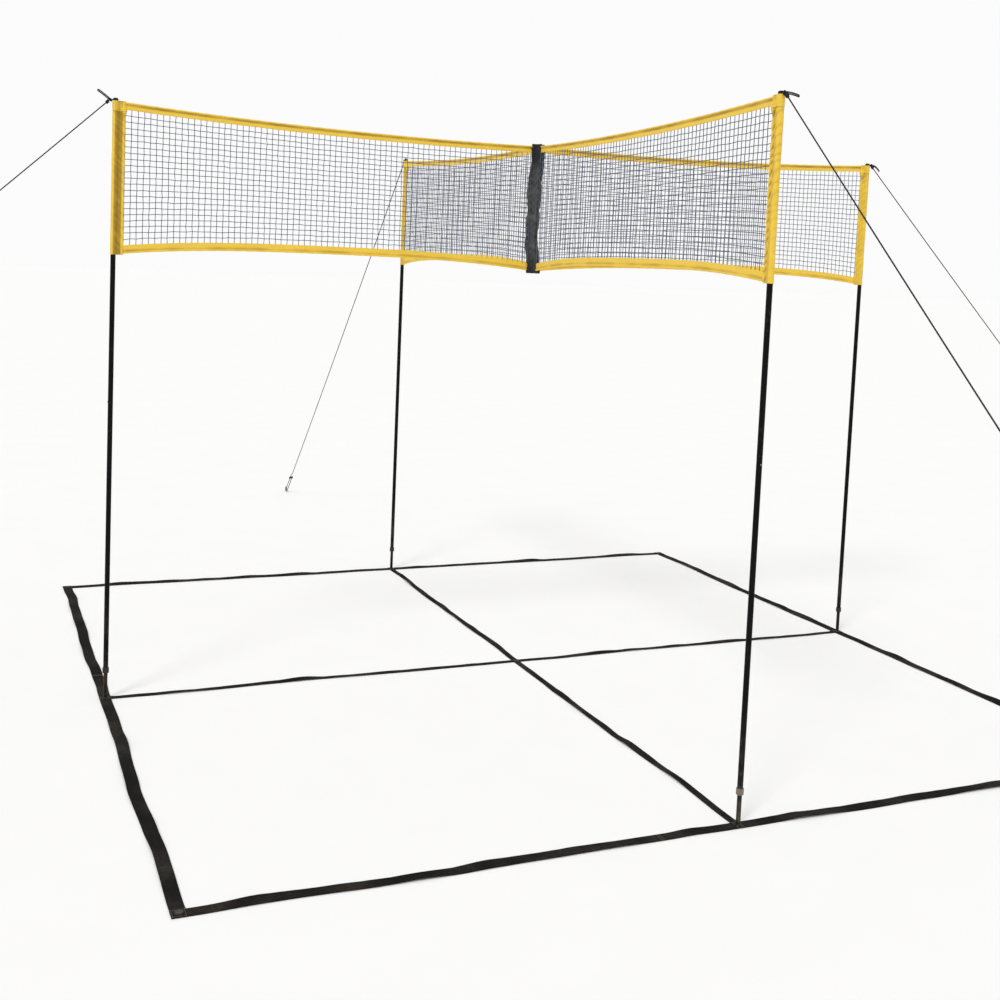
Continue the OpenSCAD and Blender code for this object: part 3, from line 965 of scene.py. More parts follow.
@dataclass
class Palette:
    """Every finish of the object, built once."""

    effects: Effects = field(default_factory=Effects)

    def make(self, finish: Finish) -> bpy.types.Material:
        """Builds one finish with the shared effects."""
        return finish.make(self.effects)

    def __post_init__(self) -> None:
        """Builds the materials."""
        make = self.make
        self.pole = make(
            Enamel(
                "satin_black_paint", "black_paint", (0.003, 0.003, 0.0034), 0.42, 0.08,
                scuffs=0.15, dust=0.25,
            )
        )
        self.leg = make(
            Enamel(
                "dull_drawn_tube", "bare_tube", (0.036, 0.032, 0.022), 0.42,
                metal=1.0, bare=(0.12, 0.11, 0.09), dust=0.25,
            )
        )
        # Painted-shade copy of the drawn tube, for every leg but the front one.
        self.shaded_leg = make(
            Enamel(
                "painted_shade_drawn_tube", "bare_tube", (0.014, 0.011, 0.006), 0.45,
                metal=1.0, bare=(0.08, 0.07, 0.05), dust=0.15,
            )
        )
        self.rod = make(
            Enamel(
                "drawn_steel_rod", "steel_rod", (0.22, 0.22, 0.225), 0.34,
                metal=1.0, bare=(0.5, 0.5, 0.5), dust=0.5,
            )
        )
        self.plastic = make(
            Moulded("black_moulding", "black_plastic", (0.012, 0.012, 0.013), 0.55, 0.2, dust=0.25)
        )
        self.pale_collar = make(
            Moulded("pale_moulding", "pale_plastic", (0.16, 0.14, 0.105), 0.55)
        )
        # Painted-shade copy of the pale collar moulding, for every collar but the front one.
        self.shaded_collar = make(
            Moulded("painted_shade_moulding", "pale_plastic", (0.016, 0.0145, 0.011), 0.55, 0.2, dust=0.10)
        )
        self.webbing = make(
            Woven(
                "court_webbing", "court_webbing", (0.008, 0.0078, 0.0078), 0.9, 0.06,
                warp=1.1 * MM, weft=1.7 * MM, relief=0.5 * MM, dark=(0.003, 0.003, 0.003),
                dust=0.10, sheen=0.0,
            )
        )
        self.strap = make(
            Woven(
                "gathered_strap_cloth", "strap_webbing", (0.110, 0.113, 0.114), 0.85, 0.15,
                warp=0.8 * MM, weft=0.8 * MM, dark=(0.012, 0.012, 0.014), sheen=0.08,
            )
        )
        self.tape = make(
            Woven(
                "net_tape_cloth", "yellow_tape", (0.92, 0.625, 0.065), 0.6,
                dark=(0.36, 0.205, 0.018), relief=0.15 * MM, mottle=0.08, sheen=0.05,
            )
        )
        self.sleeve = make(
            Woven(
                "pole_sleeve_cloth", "sleeve_cloth", (0.92, 0.625, 0.065), 0.6,
                dark=(0.36, 0.215, 0.014), relief=0.2 * MM, mottle=0.10, sheen=0.05,
            )
        )
        self.thread = make(
            Laid("yellow_thread", "yellow_tape", (0.70, 0.46, 0.06), 0.7, dark=(0.34, 0.2, 0.03))
        )
        self.pale_thread = make(
            Laid("pale_thread", "court_webbing", (0.46, 0.44, 0.40), 0.7, dark=(0.28, 0.27, 0.25))
        )
        self.twine = make(
            Laid(
                "netting_twine", "netting", (0.120, 0.140, 0.190), 0.85, 0.1,
                dark=(0.065, 0.077, 0.11),
            )
        )
        self.rope = make(
            Laid(
                "guy_rope_yarn", "guy_cord", (0.020, 0.021, 0.027), 0.8, 0.12,
                dark=(0.006, 0.006, 0.008),
            )
        )
        self.cord = make(
            Laid("hem_cord_yarn", "white_cord", (0.66, 0.64, 0.56), 0.75, dark=(0.4, 0.38, 0.32))
        )


# ---------- Sizes that the frame gives ----------


@dataclass(frozen=True)
class FrameSizes:
    """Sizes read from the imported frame, on its right side."""

    reach: float
    pole_r: float
    sleeve_low: float
    sleeve_high: float
    panel_start: float
    panel_end: float
    strap_low: float
    strap_high: float
    outline_w: float
    cross_w: float

    @classmethod
    def read(cls) -> "FrameSizes":
        """Measures the frame's nodes.

        Returns:
            The sizes.
        """
        pole_low, pole_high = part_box("upper_pole_right")
        sleeve_low, sleeve_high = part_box("pole_sleeve_right")
        tape_low, tape_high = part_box("top_tape_right")
        strap_low, strap_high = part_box("centre_strap")
        outline_low, outline_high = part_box("outline_back")
        cross_low, cross_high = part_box("cross_strip_x")
        return cls(
            reach=(pole_low.x + pole_high.x) / 2,
            pole_r=(pole_high.y - pole_low.y) / 2,
            sleeve_low=sleeve_low.z,
            sleeve_high=sleeve_high.z,
            panel_start=tape_low.x,
            panel_end=tape_high.x,
            strap_low=strap_low.z,
            strap_high=strap_high.z,
            outline_w=outline_high.y - outline_low.y,
            cross_w=cross_high.y - cross_low.y,
        )


# ---------- Guy ropes ----------


@dataclass(frozen=True)
class GuyLine:
    """A rope from a pole's head to its stake, round the stake's rod and back to the runner.

    Its own plane holds x down the rope and y across it, at a set height up the leaning stake.
    """

    reach: float
    tie_out: float = 20.9 * MM
    tie_z: float = 2.4335
    guy_reach: float = 2.6
    loop_up: float = 20 * MM
    loop_r: float = 6.65 * MM
    runner_up: float = 0.170
    runner_t: float = 12 * MM
    runner_travel: float = 0.110
    strand_taper: float = 90 * MM
    stopper_r: float = 5.5 * MM
    rope_r: float = 2.5 * MM
    knot_end: float = 23.3 * MM
    sag: float = 9 * MM
    ring_step: float = 2.3 * MM
    turn_points: int = 16
    height_travel: float = 0.100
    knot_points: int = 110
    stopper_size: float = 1.55 * MM
    stopper_strand: Strand = Strand(1.9 * MM, sides=10, depth=0.10)

    @property
    def lean(self) -> float:
        """The stake's lean, at which its rod stands square to the rope, in radians."""
        run = self.guy_reach - self.tie_out
        return math.acos(self.loop_up / math.hypot(run, self.tie_z)) - math.atan2(run, self.tie_z)

    @property
    def span(self) -> float:
        """Length of the straight rope from the tie point to the stake."""
        run = self.guy_reach - self.tie_out
        return run * math.cos(self.lean) + self.tie_z * math.sin(self.lean)

    @property
    def down(self) -> np.ndarray:
        """Direction down the rope."""
        return np.array([math.cos(self.lean), 0.0, -math.sin(self.lean)])

    @property
    def rod(self) -> np.ndarray:
        """Direction up the stake's rod."""
        return np.array([math.sin(self.lean), 0.0, math.cos(self.lean)])

    @property
    def return_end(self) -> float:
        """Place of the return's end down the rope, in the middle of the stopper knot."""
        return -self.runner_up - self.runner_t / 2 - self.stopper_r

    def world(self, x: np.ndarray, y: np.ndarray, up: np.ndarray | float = 0.0) -> np.ndarray:
        """Places points of the rope's own plane in the frame, on the side that points along +X.

        Args:
            x: Places down the rope from the stake.
            y: Places across it.
            up: Places up the rod from the plane.

        Returns:
            The points, (n, 3).
        """
        x, y, up = np.broadcast_arrays(x, y, np.asarray(up) + self.loop_up)
        foot = (self.reach + self.guy_reach) * X_AXIS
        return foot + x[:, None] * self.down + y[:, None] * Y_AXIS + up[:, None] * self.rod

    def standing_path(self) -> np.ndarray:
        """The standing part: from the knot down to the stake and half round its rod.

        The rope hangs below its straight line by sag * 4 t (1 - t) between knot and runner.

        Returns:
            The centres of its rings.
        """
        top = self.knot_end - self.span
        runner = -self.runner_up
        x = np.linspace(top, 0.0, round(-top / self.ring_step))
        y = self.loop_r * smooth((x - runner + self.strand_taper) / self.strand_taper)
        share = np.clip((x - top) / (runner - top), 0.0, 1.0)
        drop = -self.sag * 4.0 * share * (1.0 - share)
        turn = np.linspace(math.pi / 2, -math.pi / 2, self.turn_points)[1:]
        x = np.concatenate([x, self.loop_r * np.cos(turn)])
        y = np.concatenate([y, self.loop_r * np.sin(turn)])
        drop = np.concatenate([drop, np.zeros(len(turn))])
        return self.world(x, y, drop)

    def return_path(self) -> np.ndarray:
        """The return part: from the stake's rod back up through the runner.

        Returns:
            The centres of its rings.
        """
        x = np.linspace(0.0, self.return_end, round(-self.return_end / self.ring_step))
        return self.world(x, np.full(len(x), -self.loop_r))

    def trefoil(
        self, middle: np.ndarray, across: np.ndarray, up: np.ndarray, size: float
    ) -> np.ndarray:
        """An overhand knot's line: x = sin t + 2 sin 2t, y = cos t - 2 cos 2t, z = -sin 3t.

        Args:
            middle: The knot's middle.
            across: First direction of the knot's plane.
            up: Second direction of the knot's plane.
            size: Scale of the formula's units.

        Returns:
            The line's points, which close on themselves but for a small gap.
        """
        t = np.linspace(0.0, TAU, self.knot_points)[:-1]
        a, b, c = np.sin(t) + 2 * np.sin(2 * t), np.cos(t) - 2 * np.cos(2 * t), -np.sin(3 * t)
        through = np.cross(across, up)
        return middle + size * (a[:, None] * across + b[:, None] * up + c[:, None] * through)

    def build(self, side: Side, palette: Palette) -> None:
        """Makes the rope, its return and its stopper knot for one side.

        Args:
            side: The side.
            palette: The finishes.
        """
        strand = Strand(self.rope_r)
        path = self.standing_path()
        rope = make_piece(
            f"guy_line_{side.label}", strand.along(path, self.rod).turned(side),
            palette.rope, "ground_set",
        )
        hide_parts(f"guy_rope_{side.label}")
        placed = side.place(path)
        tuple(placed[0])
        [tuple(p) for p in placed]
        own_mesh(rope)
        back = self.return_path()
        anchor = side.place(back[0])
        tail = make_piece(
            f"guy_line_return_{side.label}", strand.along(back, self.rod).turned(side),
            palette.rope, "ground_set",
        )
        stopper_at = self.world(np.array([self.return_end]), np.array([-self.loop_r]))[0]
        line = self.trefoil(stopper_at, Y_AXIS, self.rod, self.stopper_size)
        stopper = self.stopper_strand.along(line, unit(line - stopper_at))
        knot = make_piece(
            f"stopper_knot_{side.label}", stopper.turned(side), palette.rope,
            f"rope_runner_{side.label}",
        )
        placed = side.place(back)
        tuple(placed[0])
        [tuple(p) for p in placed]
        tuple(side.place(self.down))
        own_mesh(tail)


@dataclass(frozen=True)
class FreeTail:
    """The bight of rope that is left over at a head knot: how long it is and where it points."""

    length: float
    out: float
    aside: float
    up: float
    droop: float = 0.0
    spread: float = 2.7 * MM
    back_to: float = 0.12
    opened_by: float = 0.3
    opening: float = 0.25

    @property
    def heading(self) -> np.ndarray:
        """Direction from the knot to the bight's end."""
        return unit(np.array([self.out, self.aside, self.up]))

    @property
    def through(self) -> np.ndarray:
        """Level direction that the bight's plane stands square to."""
        return unit(np.cross(self.heading, Z_AXIS))

    def path(self) -> np.ndarray:
        """Out along one side, round a small turn and most of the way back along the other.

        The middle line is length * t along its direction, lowered by droop * t^2. The two sides
        lie one above the other.

        Returns:
            The line's points from the knot's middle, (n, 3).
        """
        heading = self.heading
        sideways = np.cross(self.through, heading)
        out = np.linspace(0.0, self.length, 26)
        turn = np.linspace(math.pi / 2, -math.pi / 2, 9)[1:-1]
        back = np.linspace(self.length, self.back_to * self.length, 22)
        along = np.concatenate([out, self.length + self.spread * np.cos(turn), back])
        gap = self.spread * smooth(out / (self.opened_by * self.length) + self.opening)
        across = np.concatenate([gap, self.spread * np.sin(turn), np.full(len(back), -self.spread)])
        drop = self.droop * (along / self.length) ** 2
        return along[:, None] * heading + across[:, None] * sideways - drop[:, None] * Z_AXIS


@dataclass(frozen=True)
class HeadKnot:
    """The rope's end at a pole's head: a loop round the cap, a knot, turns and a free bight."""

    line: GuyLine
    waist_r: float = 8.3 * MM
    knot_size: float = 2.5 * MM
    knot_down: float = 1 * MM
    turns: int = 3
    turn_r: float = 4.8 * MM
    turns_from: float = 7 * MM
    turn_pitch: float = 0.92
    turn_points: int = 40
    core_len: float = 26 * MM
    circle_points: int = 61
    overlap: float = 0.82
    lay: float = 0.022
    step: float = 2.5 * MM

    def tail(self, side: Side) -> FreeTail:
        """The free bight of one side.

        Args:
            side: The side.

        Returns:
            Its length and direction.
        """
        return {
            Side.LEFT: FreeTail(58 * MM, 0.78, 0.05, 0.62, 4 * MM),
            Side.FRONT: FreeTail(42 * MM, 0.45, 0.85, -0.02, 8 * MM),
            Side.BACK: FreeTail(44 * MM, 0.60, -0.35, 0.55, 14 * MM),
            Side.RIGHT: FreeTail(44 * MM, 0.75, -0.25, 0.10, 30 * MM),
        }[side]

    def build(self, side: Side, palette: Palette) -> None:
        """Makes one side's knot.

        Args:
            side: The side.
            palette: The finishes.
        """
        line = self.line
        strand = Strand(line.rope_r, lay=self.lay)
        tie = np.array([line.reach + line.tie_out, 0.0, line.tie_z])
        post = np.array([line.reach, 0.0, line.tie_z])
        t = np.linspace(0.0, TAU, self.circle_points)
        circle = post + self.waist_r * np.stack([np.cos(t), np.sin(t), 0 * t], axis=1)
        rise = 2 * line.rope_r * self.overlap * (0.5 - 0.5 * np.cos(t / 2))
        second = circle + rise[:, None] * Z_AXIS
        middle = tie + self.knot_down * line.down
        neck = resample(np.stack([circle[0], tie, middle]), self.step)
        knot = line.trefoil(middle, Y_AXIS, line.rod, self.knot_size)
        core = resample(np.stack([middle, middle + self.core_len * line.down]), self.step)
        angle = np.linspace(0.0, TAU * self.turns, self.turn_points * self.turns)
        pitch = 2 * line.rope_r * self.turn_pitch
        climb = self.knot_down + self.turns_from + angle / TAU * pitch
        helix = (
            tie
            + climb[:, None] * line.down
            + self.turn_r * (np.cos(angle)[:, None] * Y_AXIS + np.sin(angle)[:, None] * line.rod)
        )
        parts = [
            strand.along(circle, Z_AXIS),
            strand.along(second, Z_AXIS),
            strand.along(neck, Y_AXIS),
            strand.along(knot, unit(knot - middle)),
            strand.along(core, Y_AXIS),
            strand.along(helix, line.down),
            strand.along(middle + self.tail(side).path(), self.tail(side).through),
        ]
        piece = make_piece(
            f"head_knot_{side.label}", join(parts).turned(side), palette.rope,
            "net_frame",
        )
        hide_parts("guy_knots")


# ---------- Court ----------


@dataclass(frozen=True)
class CourtWebbing:
    """The outline and the cross on the ground: flat webbing that wanders a little as it lies."""

    sizes: FrameSizes
    thickness: float = 1.6 * MM
    wander: float = 9 * MM
    lift: float = 5 * MM
    curl: float = 2.2 * MM
    ramp: float = 22 * MM
    lap_at: float = -0.30
    ring_step: float = 8 * MM
    across: int = 9
    edge_r: float = 0.4 * MM
    still_by_crossing: float = 0.05
    free_after_crossing: float = 0.22
    still_by_lap: float = 0.02
    free_after_lap: float = 0.15
    roll_share: float = 0.5
    outline_seed: int = 5
    cross_seed: int = 7
    outline_seam_in: float = 4 * MM
    cross_seam_in: float = 3 * MM
    lap_seam_in: float = 2 * MM
    lap_seam_half: float = 5 * MM
    lap_rise: float = 0.4 * MM
    stitch: Stitch = Stitch(4.2 * MM, 1.1 * MM, 1.2 * MM)

    def rest_height(self, x: np.ndarray, over_ends: bool, over_middle: bool) -> np.ndarray:
        """Height of the strip's underside where it climbs over the strips below it.

        Args:
            x: Places along the strip.
            over_ends: True if it lies over the strips at its ends.
            over_middle: True if it lies over a strip at its middle.

        Returns:
            The heights.
        """
        height = np.zeros(len(x))
        if over_ends:
            edge = self.sizes.reach - self.sizes.outline_w / 2
            height += self.thickness * smooth((np.abs(x) - edge + self.ramp) / self.ramp)
        if over_middle:
            edge = self.sizes.cross_w / 2
            height += self.thickness * smooth((edge + self.ramp - np.abs(x)) / self.ramp)
        return height

    def strip(self, width: float, over_ends: bool, over_middle: bool, seed: int) -> Patch:
        """One strip along X, centred on the origin.

        Each ring is a flat band with round edges. Between the crossings it wanders aside, lifts
        off the ground in low waves and curls at its edges.

        Args:
            width: The webbing's width.
            over_ends: True if it lies over the strips at its ends.
            over_middle: True if it lies over a strip at its middle.
            seed: Seed of its waves.

        Returns:
            The strip.
        """
        tip = self.sizes.reach + self.sizes.outline_w / 2
        x = np.linspace(-tip, tip, round(2 * tip / self.ring_step))
        from_crossing = np.minimum(np.abs(x), self.sizes.reach - np.abs(x))
        free = smooth((from_crossing - self.still_by_crossing) / self.free_after_crossing)
        from_lap = np.abs(x - self.lap_at)
        free = free * smooth((from_lap - self.still_by_lap) / self.free_after_lap)
        aside = Ripple(seed, (1.7, 0.8, 0.31), (0.6, 0.3, 0.1)).along(x) * self.wander * free
        wave = Ripple(seed + 1, (0.9, 0.41, 0.23), (0.4, 0.35, 0.25)).along(x)
        lift = self.lift * np.clip(wave, 0.0, 1.0) ** 2 * free
        curl = self.curl * np.abs(Ripple(seed + 2, (0.6, 0.27), (0.6, 0.4)).along(x)) * free
        roll = Ripple(seed + 3, (0.75, 0.36), (0.6, 0.4)).along(x)
        roll = roll * self.lift * self.roll_share * free
        half = width / 2
        y = np.linspace(-half + self.edge_r, half - self.edge_r, self.across)
        ring_y = np.concatenate([y, [half], y[::-1], [-half]])
        rise = np.array([1.0] * self.across + [0.5] + [0.0] * self.across + [0.5])
        share = ring_y / half
        base = self.rest_height(x, over_ends, over_middle)
        tilt = np.abs(roll)[:, None] + roll[:, None] * share[None, :]
        z = (
            base[:, None] + lift[:, None] + self.thickness * rise[None, :]
            + curl[:, None] * np.abs(share[None, :]) ** 3 + tilt
        )
        place_x = np.broadcast_to(x[:, None], z.shape)
        place_y = ring_y[None, :] + aside[:, None]
        rings = np.stack([place_x, place_y, z], axis=2)
        ring = np.stack([ring_y, rise * self.thickness], axis=1)
        return skin(rings, x, around_length(ring))

    def box_seam(self, half_x: float, half_y: float, height: float, crossed: bool) -> Patch:
        """Stitches in a box, with or without a cross in it.

        Args:
            half_x: Half of the box's size along X.
            half_y: Half of its size along Y.
            height: Height of the cloth's top.
            crossed: True for a cross from corner to corner.

        Returns:
            The stitches, centred on the origin.
        """
        a, b = half_x, half_y
        lines = [[(-a, -b), (a, -b)], [(a, -b), (a, b)], [(a, b), (-a, b)], [(-a, b), (-a, -b)]]
        if crossed:
            lines += [[(-a, -b), (a, b)], [(-a, b), (a, -b)]]
        lines = [np.array([(*p, height) for p in line]) for line in lines]
        return join([self.stitch.seam(line, Z_AXIS) for line in lines])

    def build(self, palette: Palette) -> None:
        """Makes the four outlines, the cross and their stitching.

        Args:
            palette: The finishes.
        """
        sizes = self.sizes
        for side in Side:
            over = side in (Side.LEFT, Side.RIGHT)
            patch = self.strip(sizes.outline_w, over, False, side.seed * self.outline_seed)
            crossways = patch.points[:, [1, 0, 2]] * [-1.0, 1.0, 1.0] + sizes.reach * X_AXIS
            name = f"outline_{side.label}"
            piece = make_piece(
                f"{name}_webbing", replace(patch, points=crossways).turned(side),
                palette.webbing, "ground_set",
            )
            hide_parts(name)
        for side, name, over_middle in (
            (Side.RIGHT, "cross_strip_x", False),
            (Side.BACK, "cross_strip_y", True),
        ):
            patch = self.strip(sizes.cross_w, True, over_middle, side.seed * self.cross_seed)
            piece = make_piece(
                f"{name}_webbing", patch.turned(side), palette.webbing,
                "ground_set",
            )
            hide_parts(name)
        self.sew(palette)

    def sew(self, palette: Palette) -> None:
        """Sews the crossings: boxes at the corners and crossed boxes at the junctions.

        Args:
            palette: The finishes.
        """
        sizes, top = self.sizes, 2 * self.thickness
        wide = sizes.outline_w / 2 - self.outline_seam_in
        narrow = sizes.cross_w / 2 - self.cross_seam_in
        corner = self.box_seam(wide, wide, top, False)
        junction = self.box_seam(wide, narrow, top, True)
        lap = self.box_seam(
            sizes.outline_w / 2 - self.lap_seam_in, self.lap_seam_half,
            self.thickness + self.lap_rise, False,
        )
        parts = [self.box_seam(narrow, narrow, top, True)]
        for side in Side:
            for patch, place in (
                (corner, [sizes.reach, sizes.reach, 0.0]),
                (junction, [sizes.reach, 0.0, 0.0]),
                (lap, [sizes.reach, self.lap_at, 0.0]),
            ):
                parts.append(replace(patch, points=patch.points + place).turned(side))
        make_piece(
            "court_stitching", join(parts), palette.pale_thread, "ground_set"
        )


# ---------- Net ----------


@dataclass(frozen=True)
class NetPanel:
    """One panel of the net, from the strap at the middle to a pole's sleeve."""

    sizes: FrameSizes
    side: Side
    net_top: float = 2.430
    net_bottom: float = 1.822
    centre_drop: float = 40 * MM
    top_sag: float = 20 * MM
    bottom_rise: float = 38 * MM
    top_tape_w: float = 30 * MM
    bottom_tape_w: float = 34 * MM
    hem_r: float = 3.7 * MM
    layer_t: float = 1.2 * MM
    cord_r: float = 2.2 * MM
    mesh_pitch: float = 24.6 * MM
    twine_r: float = 1.4 * MM
    twine_sides: int = 6
    knot_r: float = 2.3 * MM
    sewn_in: float = 1.5 * MM
    drift_y: float = 9 * MM
    flutter_y: float = 1.0 * MM
    ring_step: float = 9 * MM
    cord_step: float = 4 * MM
    node_shift: float = 0.8 * MM
    knot_in: float = 20 * MM
    knot_w: float = 9 * MM
    knot_swell: float = 0.75
    knot_below: float = 0.35

    def share(self, x: np.ndarray) -> np.ndarray:
        """Share of the way from the middle of the court to the pole."""
        return x / self.sizes.reach

    def top(self, x: np.ndarray) -> np.ndarray:
        """Top edge: a straight fall to the middle with a shallow sag below it.

        Args:
            x: Places along the panel.

        Returns:
            Heights of the edge.
        """
        s = self.share(x)
        return self.net_top - self.centre_drop * (1 - s) - self.top_sag * 4 * s * (1 - s)

    def bottom(self, x: np.ndarray) -> np.ndarray:
        """Bottom edge: level ends and a flat-topped rise between them.

        Args:
            x: Places along the panel.

        Returns:
            Heights of the edge.
        """
        return self.net_bottom + self.bottom_rise * (1 - np.abs(2 * self.share(x) - 1) ** 3)

    def drift(self, x: np.ndarray, z: np.ndarray) -> np.ndarray:
        """How far the cloth hangs out of its plane: still at its ends, least along the taut top.

        Args:
            x: Places along the panel.
            z: Heights.

        Returns:
            Places across the panel.
        """
        still = window(x, self.sizes.panel_start, self.sizes.panel_end, 0.3)
        depth = np.clip((self.net_top - z) / (self.net_top - self.net_bottom), 0.0, 1.0)
        folds = Ripple(self.side.seed, (1.3, 0.57, 0.8), (0.5, 0.3, 0.2)).over(x, 0.4 * z)
        swing = self.drift_y * folds * still * (0.25 + 0.75 * depth)
        return swing + self.flutter(x, self.top(x) - z, self.top_tape_w, 100) + self.flutter(
            x, z - self.bottom(x), self.bottom_tape_w, 200
        )

    def flutter(self, x: np.ndarray, depth: np.ndarray, width: float, seed: int) -> np.ndarray:
        """Short waves of a tape's skirt: none at its hem, most at its edge, dying out below it.

        Args:
            x: Places along the panel.
            depth: Distance in from the tape's hem.
            width: The tape's width.
            seed: The tape's own seed.

        Returns:
            Places across the panel.
        """
        waves = Ripple(self.side.seed + seed, (0.31, 0.13, 0.075), (1.4, 0.8, 0.35)).along(x)
        still = window(x, self.sizes.panel_start, self.sizes.panel_end, 0.12)
        near = smooth(depth / width) * (1 - smooth((depth - width) / 0.15))
        return self.flutter_y * waves * still * near

    def stations(self, step: float) -> np.ndarray:
        """Places along the panel, about a step apart, from end to end."""
        length = self.sizes.panel_end - self.sizes.panel_start
        return np.linspace(self.sizes.panel_start, self.sizes.panel_end, round(length / step) + 1)

    def netting(self) -> Patch:
        """Square mesh of thin twine, knotted at each crossing.

        Node (i, j) stands at an even place along the panel and at an even share of the height
        between the tapes. Each line of nodes carries a strand.

        Returns:
            All the panel's twine.
        """
        x = self.stations(self.mesh_pitch)
        low = self.bottom(x) + self.bottom_tape_w - self.sewn_in
        high = self.top(x) - self.top_tape_w + self.sewn_in
        rows = round(float((high - low).max()) / self.mesh_pitch)
        share = np.linspace(0.0, 1.0, rows + 1)
        z = low[:, None] + (high - low)[:, None] * share[None, :]
        grid_x = np.broadcast_to(x[:, None], z.shape)
        rng = np.random.default_rng(self.side.seed)
        loose = np.minimum(share, 1 - share)[None, :] > 0
        shift = rng.normal(0.0, self.node_shift, (2, *z.shape)) * loose
        inner = window(grid_x, x[0], x[-1], self.mesh_pitch)
        grid_x = grid_x + shift[0] * inner
        z = z + shift[1]
        nodes = np.stack([grid_x, self.drift(grid_x, z), z], axis=2)
        inside = nodes[:, 1:-1]
        up = self.lines(nodes, X_AXIS)
        level = self.lines(inside.transpose(1, 0, 2), Z_AXIS)
        return join([up, level, self.knots(inside.reshape(-1, 3))])

    def lines(self, nodes: np.ndarray, aside: np.ndarray) -> Patch:
        """Straight-sided strands, one for each row of a grid of nodes.

        Args:
            nodes: Points, (strands, points per strand, 3).
            aside: Direction across the strands in the net's plane.

        Returns:
            The strands, each closed at its ends.
        """
        count, length = nodes.shape[:2]
        sides = self.twine_sides
        angle = TAU * np.arange(sides)[:, None] / sides
        offsets = self.twine_r * (np.cos(angle) * aside + np.sin(angle) * Y_AXIS)
        points = (nodes[:, :, None, :] + offsets).reshape(-1, 3)
        counts = np.arange(count), np.arange(length - 1), np.arange(sides)
        s, n, k = (a.ravel() for a in np.meshgrid(*counts, indexing="ij"))
        first = (s * length + n) * sides
        second = first + sides
        after = (k + 1) % sides
        walls = np.stack([first + k, first + after, second + after, second + k], axis=1)
        place = ((0, 0), (0, 1), (1, 1), (1, 0))
        uv = [np.stack([(n + a) * self.mesh_pitch, (k + b) / sides], axis=1) for a, b in place]
        tip = np.arange(1, sides - 1)
        fan = np.stack([0 * tip, tip, tip + 1], axis=1)
        starts = np.arange(count)[:, None, None] * length * sides
        ends = [starts + fan[None, :, ::-1], starts + (length - 1) * sides + fan[None]]
        tris = np.concatenate(ends).reshape(-1, 3)
        shade = np.ones(len(points))
        uv_ends = np.zeros((len(tris), 3, 2))
        return Patch(points, walls, np.stack(uv, axis=1), tris, uv_ends, shade).outward()

    def knots(self, nodes: np.ndarray) -> Patch:
        """A small eight-sided knot at each node.

        Args:
            nodes: The crossings, (n, 3).

        Returns:
            The knots.
        """
        size = 2 * self.knot_r
        along = np.broadcast_to(unit(X_AXIS + Z_AXIS), nodes.shape)
        out = np.broadcast_to(Y_AXIS, nodes.shape)
        return Stitch(size * 1.25, size, size * 0.8).sewn(nodes, along, out)

    def tape_ring(self, width: float) -> tuple[np.ndarray, np.ndarray]:
        """Outline of a folded tape, hem upwards, with its edge at the origin.

        An arc of the hem's radius runs from one side of the flat skirt over the top to the other.

        Args:
            width: The tape's width.

        Returns:
            The outline's points across and up, and tones of painted crease shade.
        """
        neck = math.asin(self.layer_t / self.hem_r)
        angle = np.linspace(neck, TAU - neck, 17)
        hem = np.stack([self.hem_r * np.sin(angle), -self.hem_r * (1 + np.cos(angle))], axis=1)
        depth = np.linspace(2 * self.hem_r + 1.0 * MM, width - 0.8 * MM, 8)
        flat = np.full(len(depth), self.layer_t)
        right = np.stack([flat, -depth], axis=1)[::-1]
        left = np.stack([-flat, -depth], axis=1)
        foot = np.array([[0.0, -width]])
        ring = np.concatenate([foot, right, hem, left])
        # Painted shade along the crease below the hem: the tone dips there.
        crease = 2 * self.hem_r + 3.5 * MM
        tone = smooth(np.abs(-ring[:, 1] - crease) / (7.5 * MM)) * 0.9 + 0.1
        return ring, tone

    def tape(self, top: bool) -> Patch:
        """A folded tape along the top or the bottom edge.

        The outline is carried along the edge. It follows the panel's drift, its hem is puckered,
        and it swells at the pole, where its cord is knotted.

        Args:
            top: True for the top tape, False for the bottom one.

        Returns:
            The closed tape.
        """
        x = self.stations(self.ring_step)
        width = self.top_tape_w if top else self.bottom_tape_w
        ring, tone = self.tape_ring(width)
        sense = 1.0 if top else -1.0
        edge = self.top(x) if top else self.bottom(x)
        seed = self.side.seed + (100 if top else 200)
        depth = -ring[:, 1] / width
        pucker = Ripple(seed + 1, (0.052, 0.023), (0.35 * MM, 0.25 * MM)).along(x)
        from_knot = (self.sizes.panel_end - self.knot_in - x) / self.knot_w
        knot = np.exp(-(from_knot**2)) * (1.0 if top else self.knot_below)
        still = window(x, self.sizes.panel_start, self.sizes.panel_end, 0.12)
        swell = 1.0 + self.knot_swell * knot[:, None] * (depth[None, :] < 0.5)
        y = ring[None, :, 0] * swell
        z = edge[:, None] + sense * (ring[None, :, 1] + (pucker * still)[:, None])
        place_x = np.broadcast_to(x[:, None], z.shape)
        rings = np.stack([place_x, y + self.drift(place_x, z), z], axis=2)
        # Painted crease shade, half as deep on the bottom tape, its depth wavering along the tape.
        painted_shade_waver = Ripple(seed + 2, (0.4, 0.17, 0.09), (0.12, 0.1, 0.06)).along(x)
        scuffing_and_painted_shade = tone if top else 0.5 + 0.5 * tone
        shade = np.clip(scuffing_and_painted_shade[None, :] + painted_shade_waver[:, None] * (tone[None, :] < 0.9), 0.0, 1.0)
        return skin(rings, x, around_length(ring), shade)

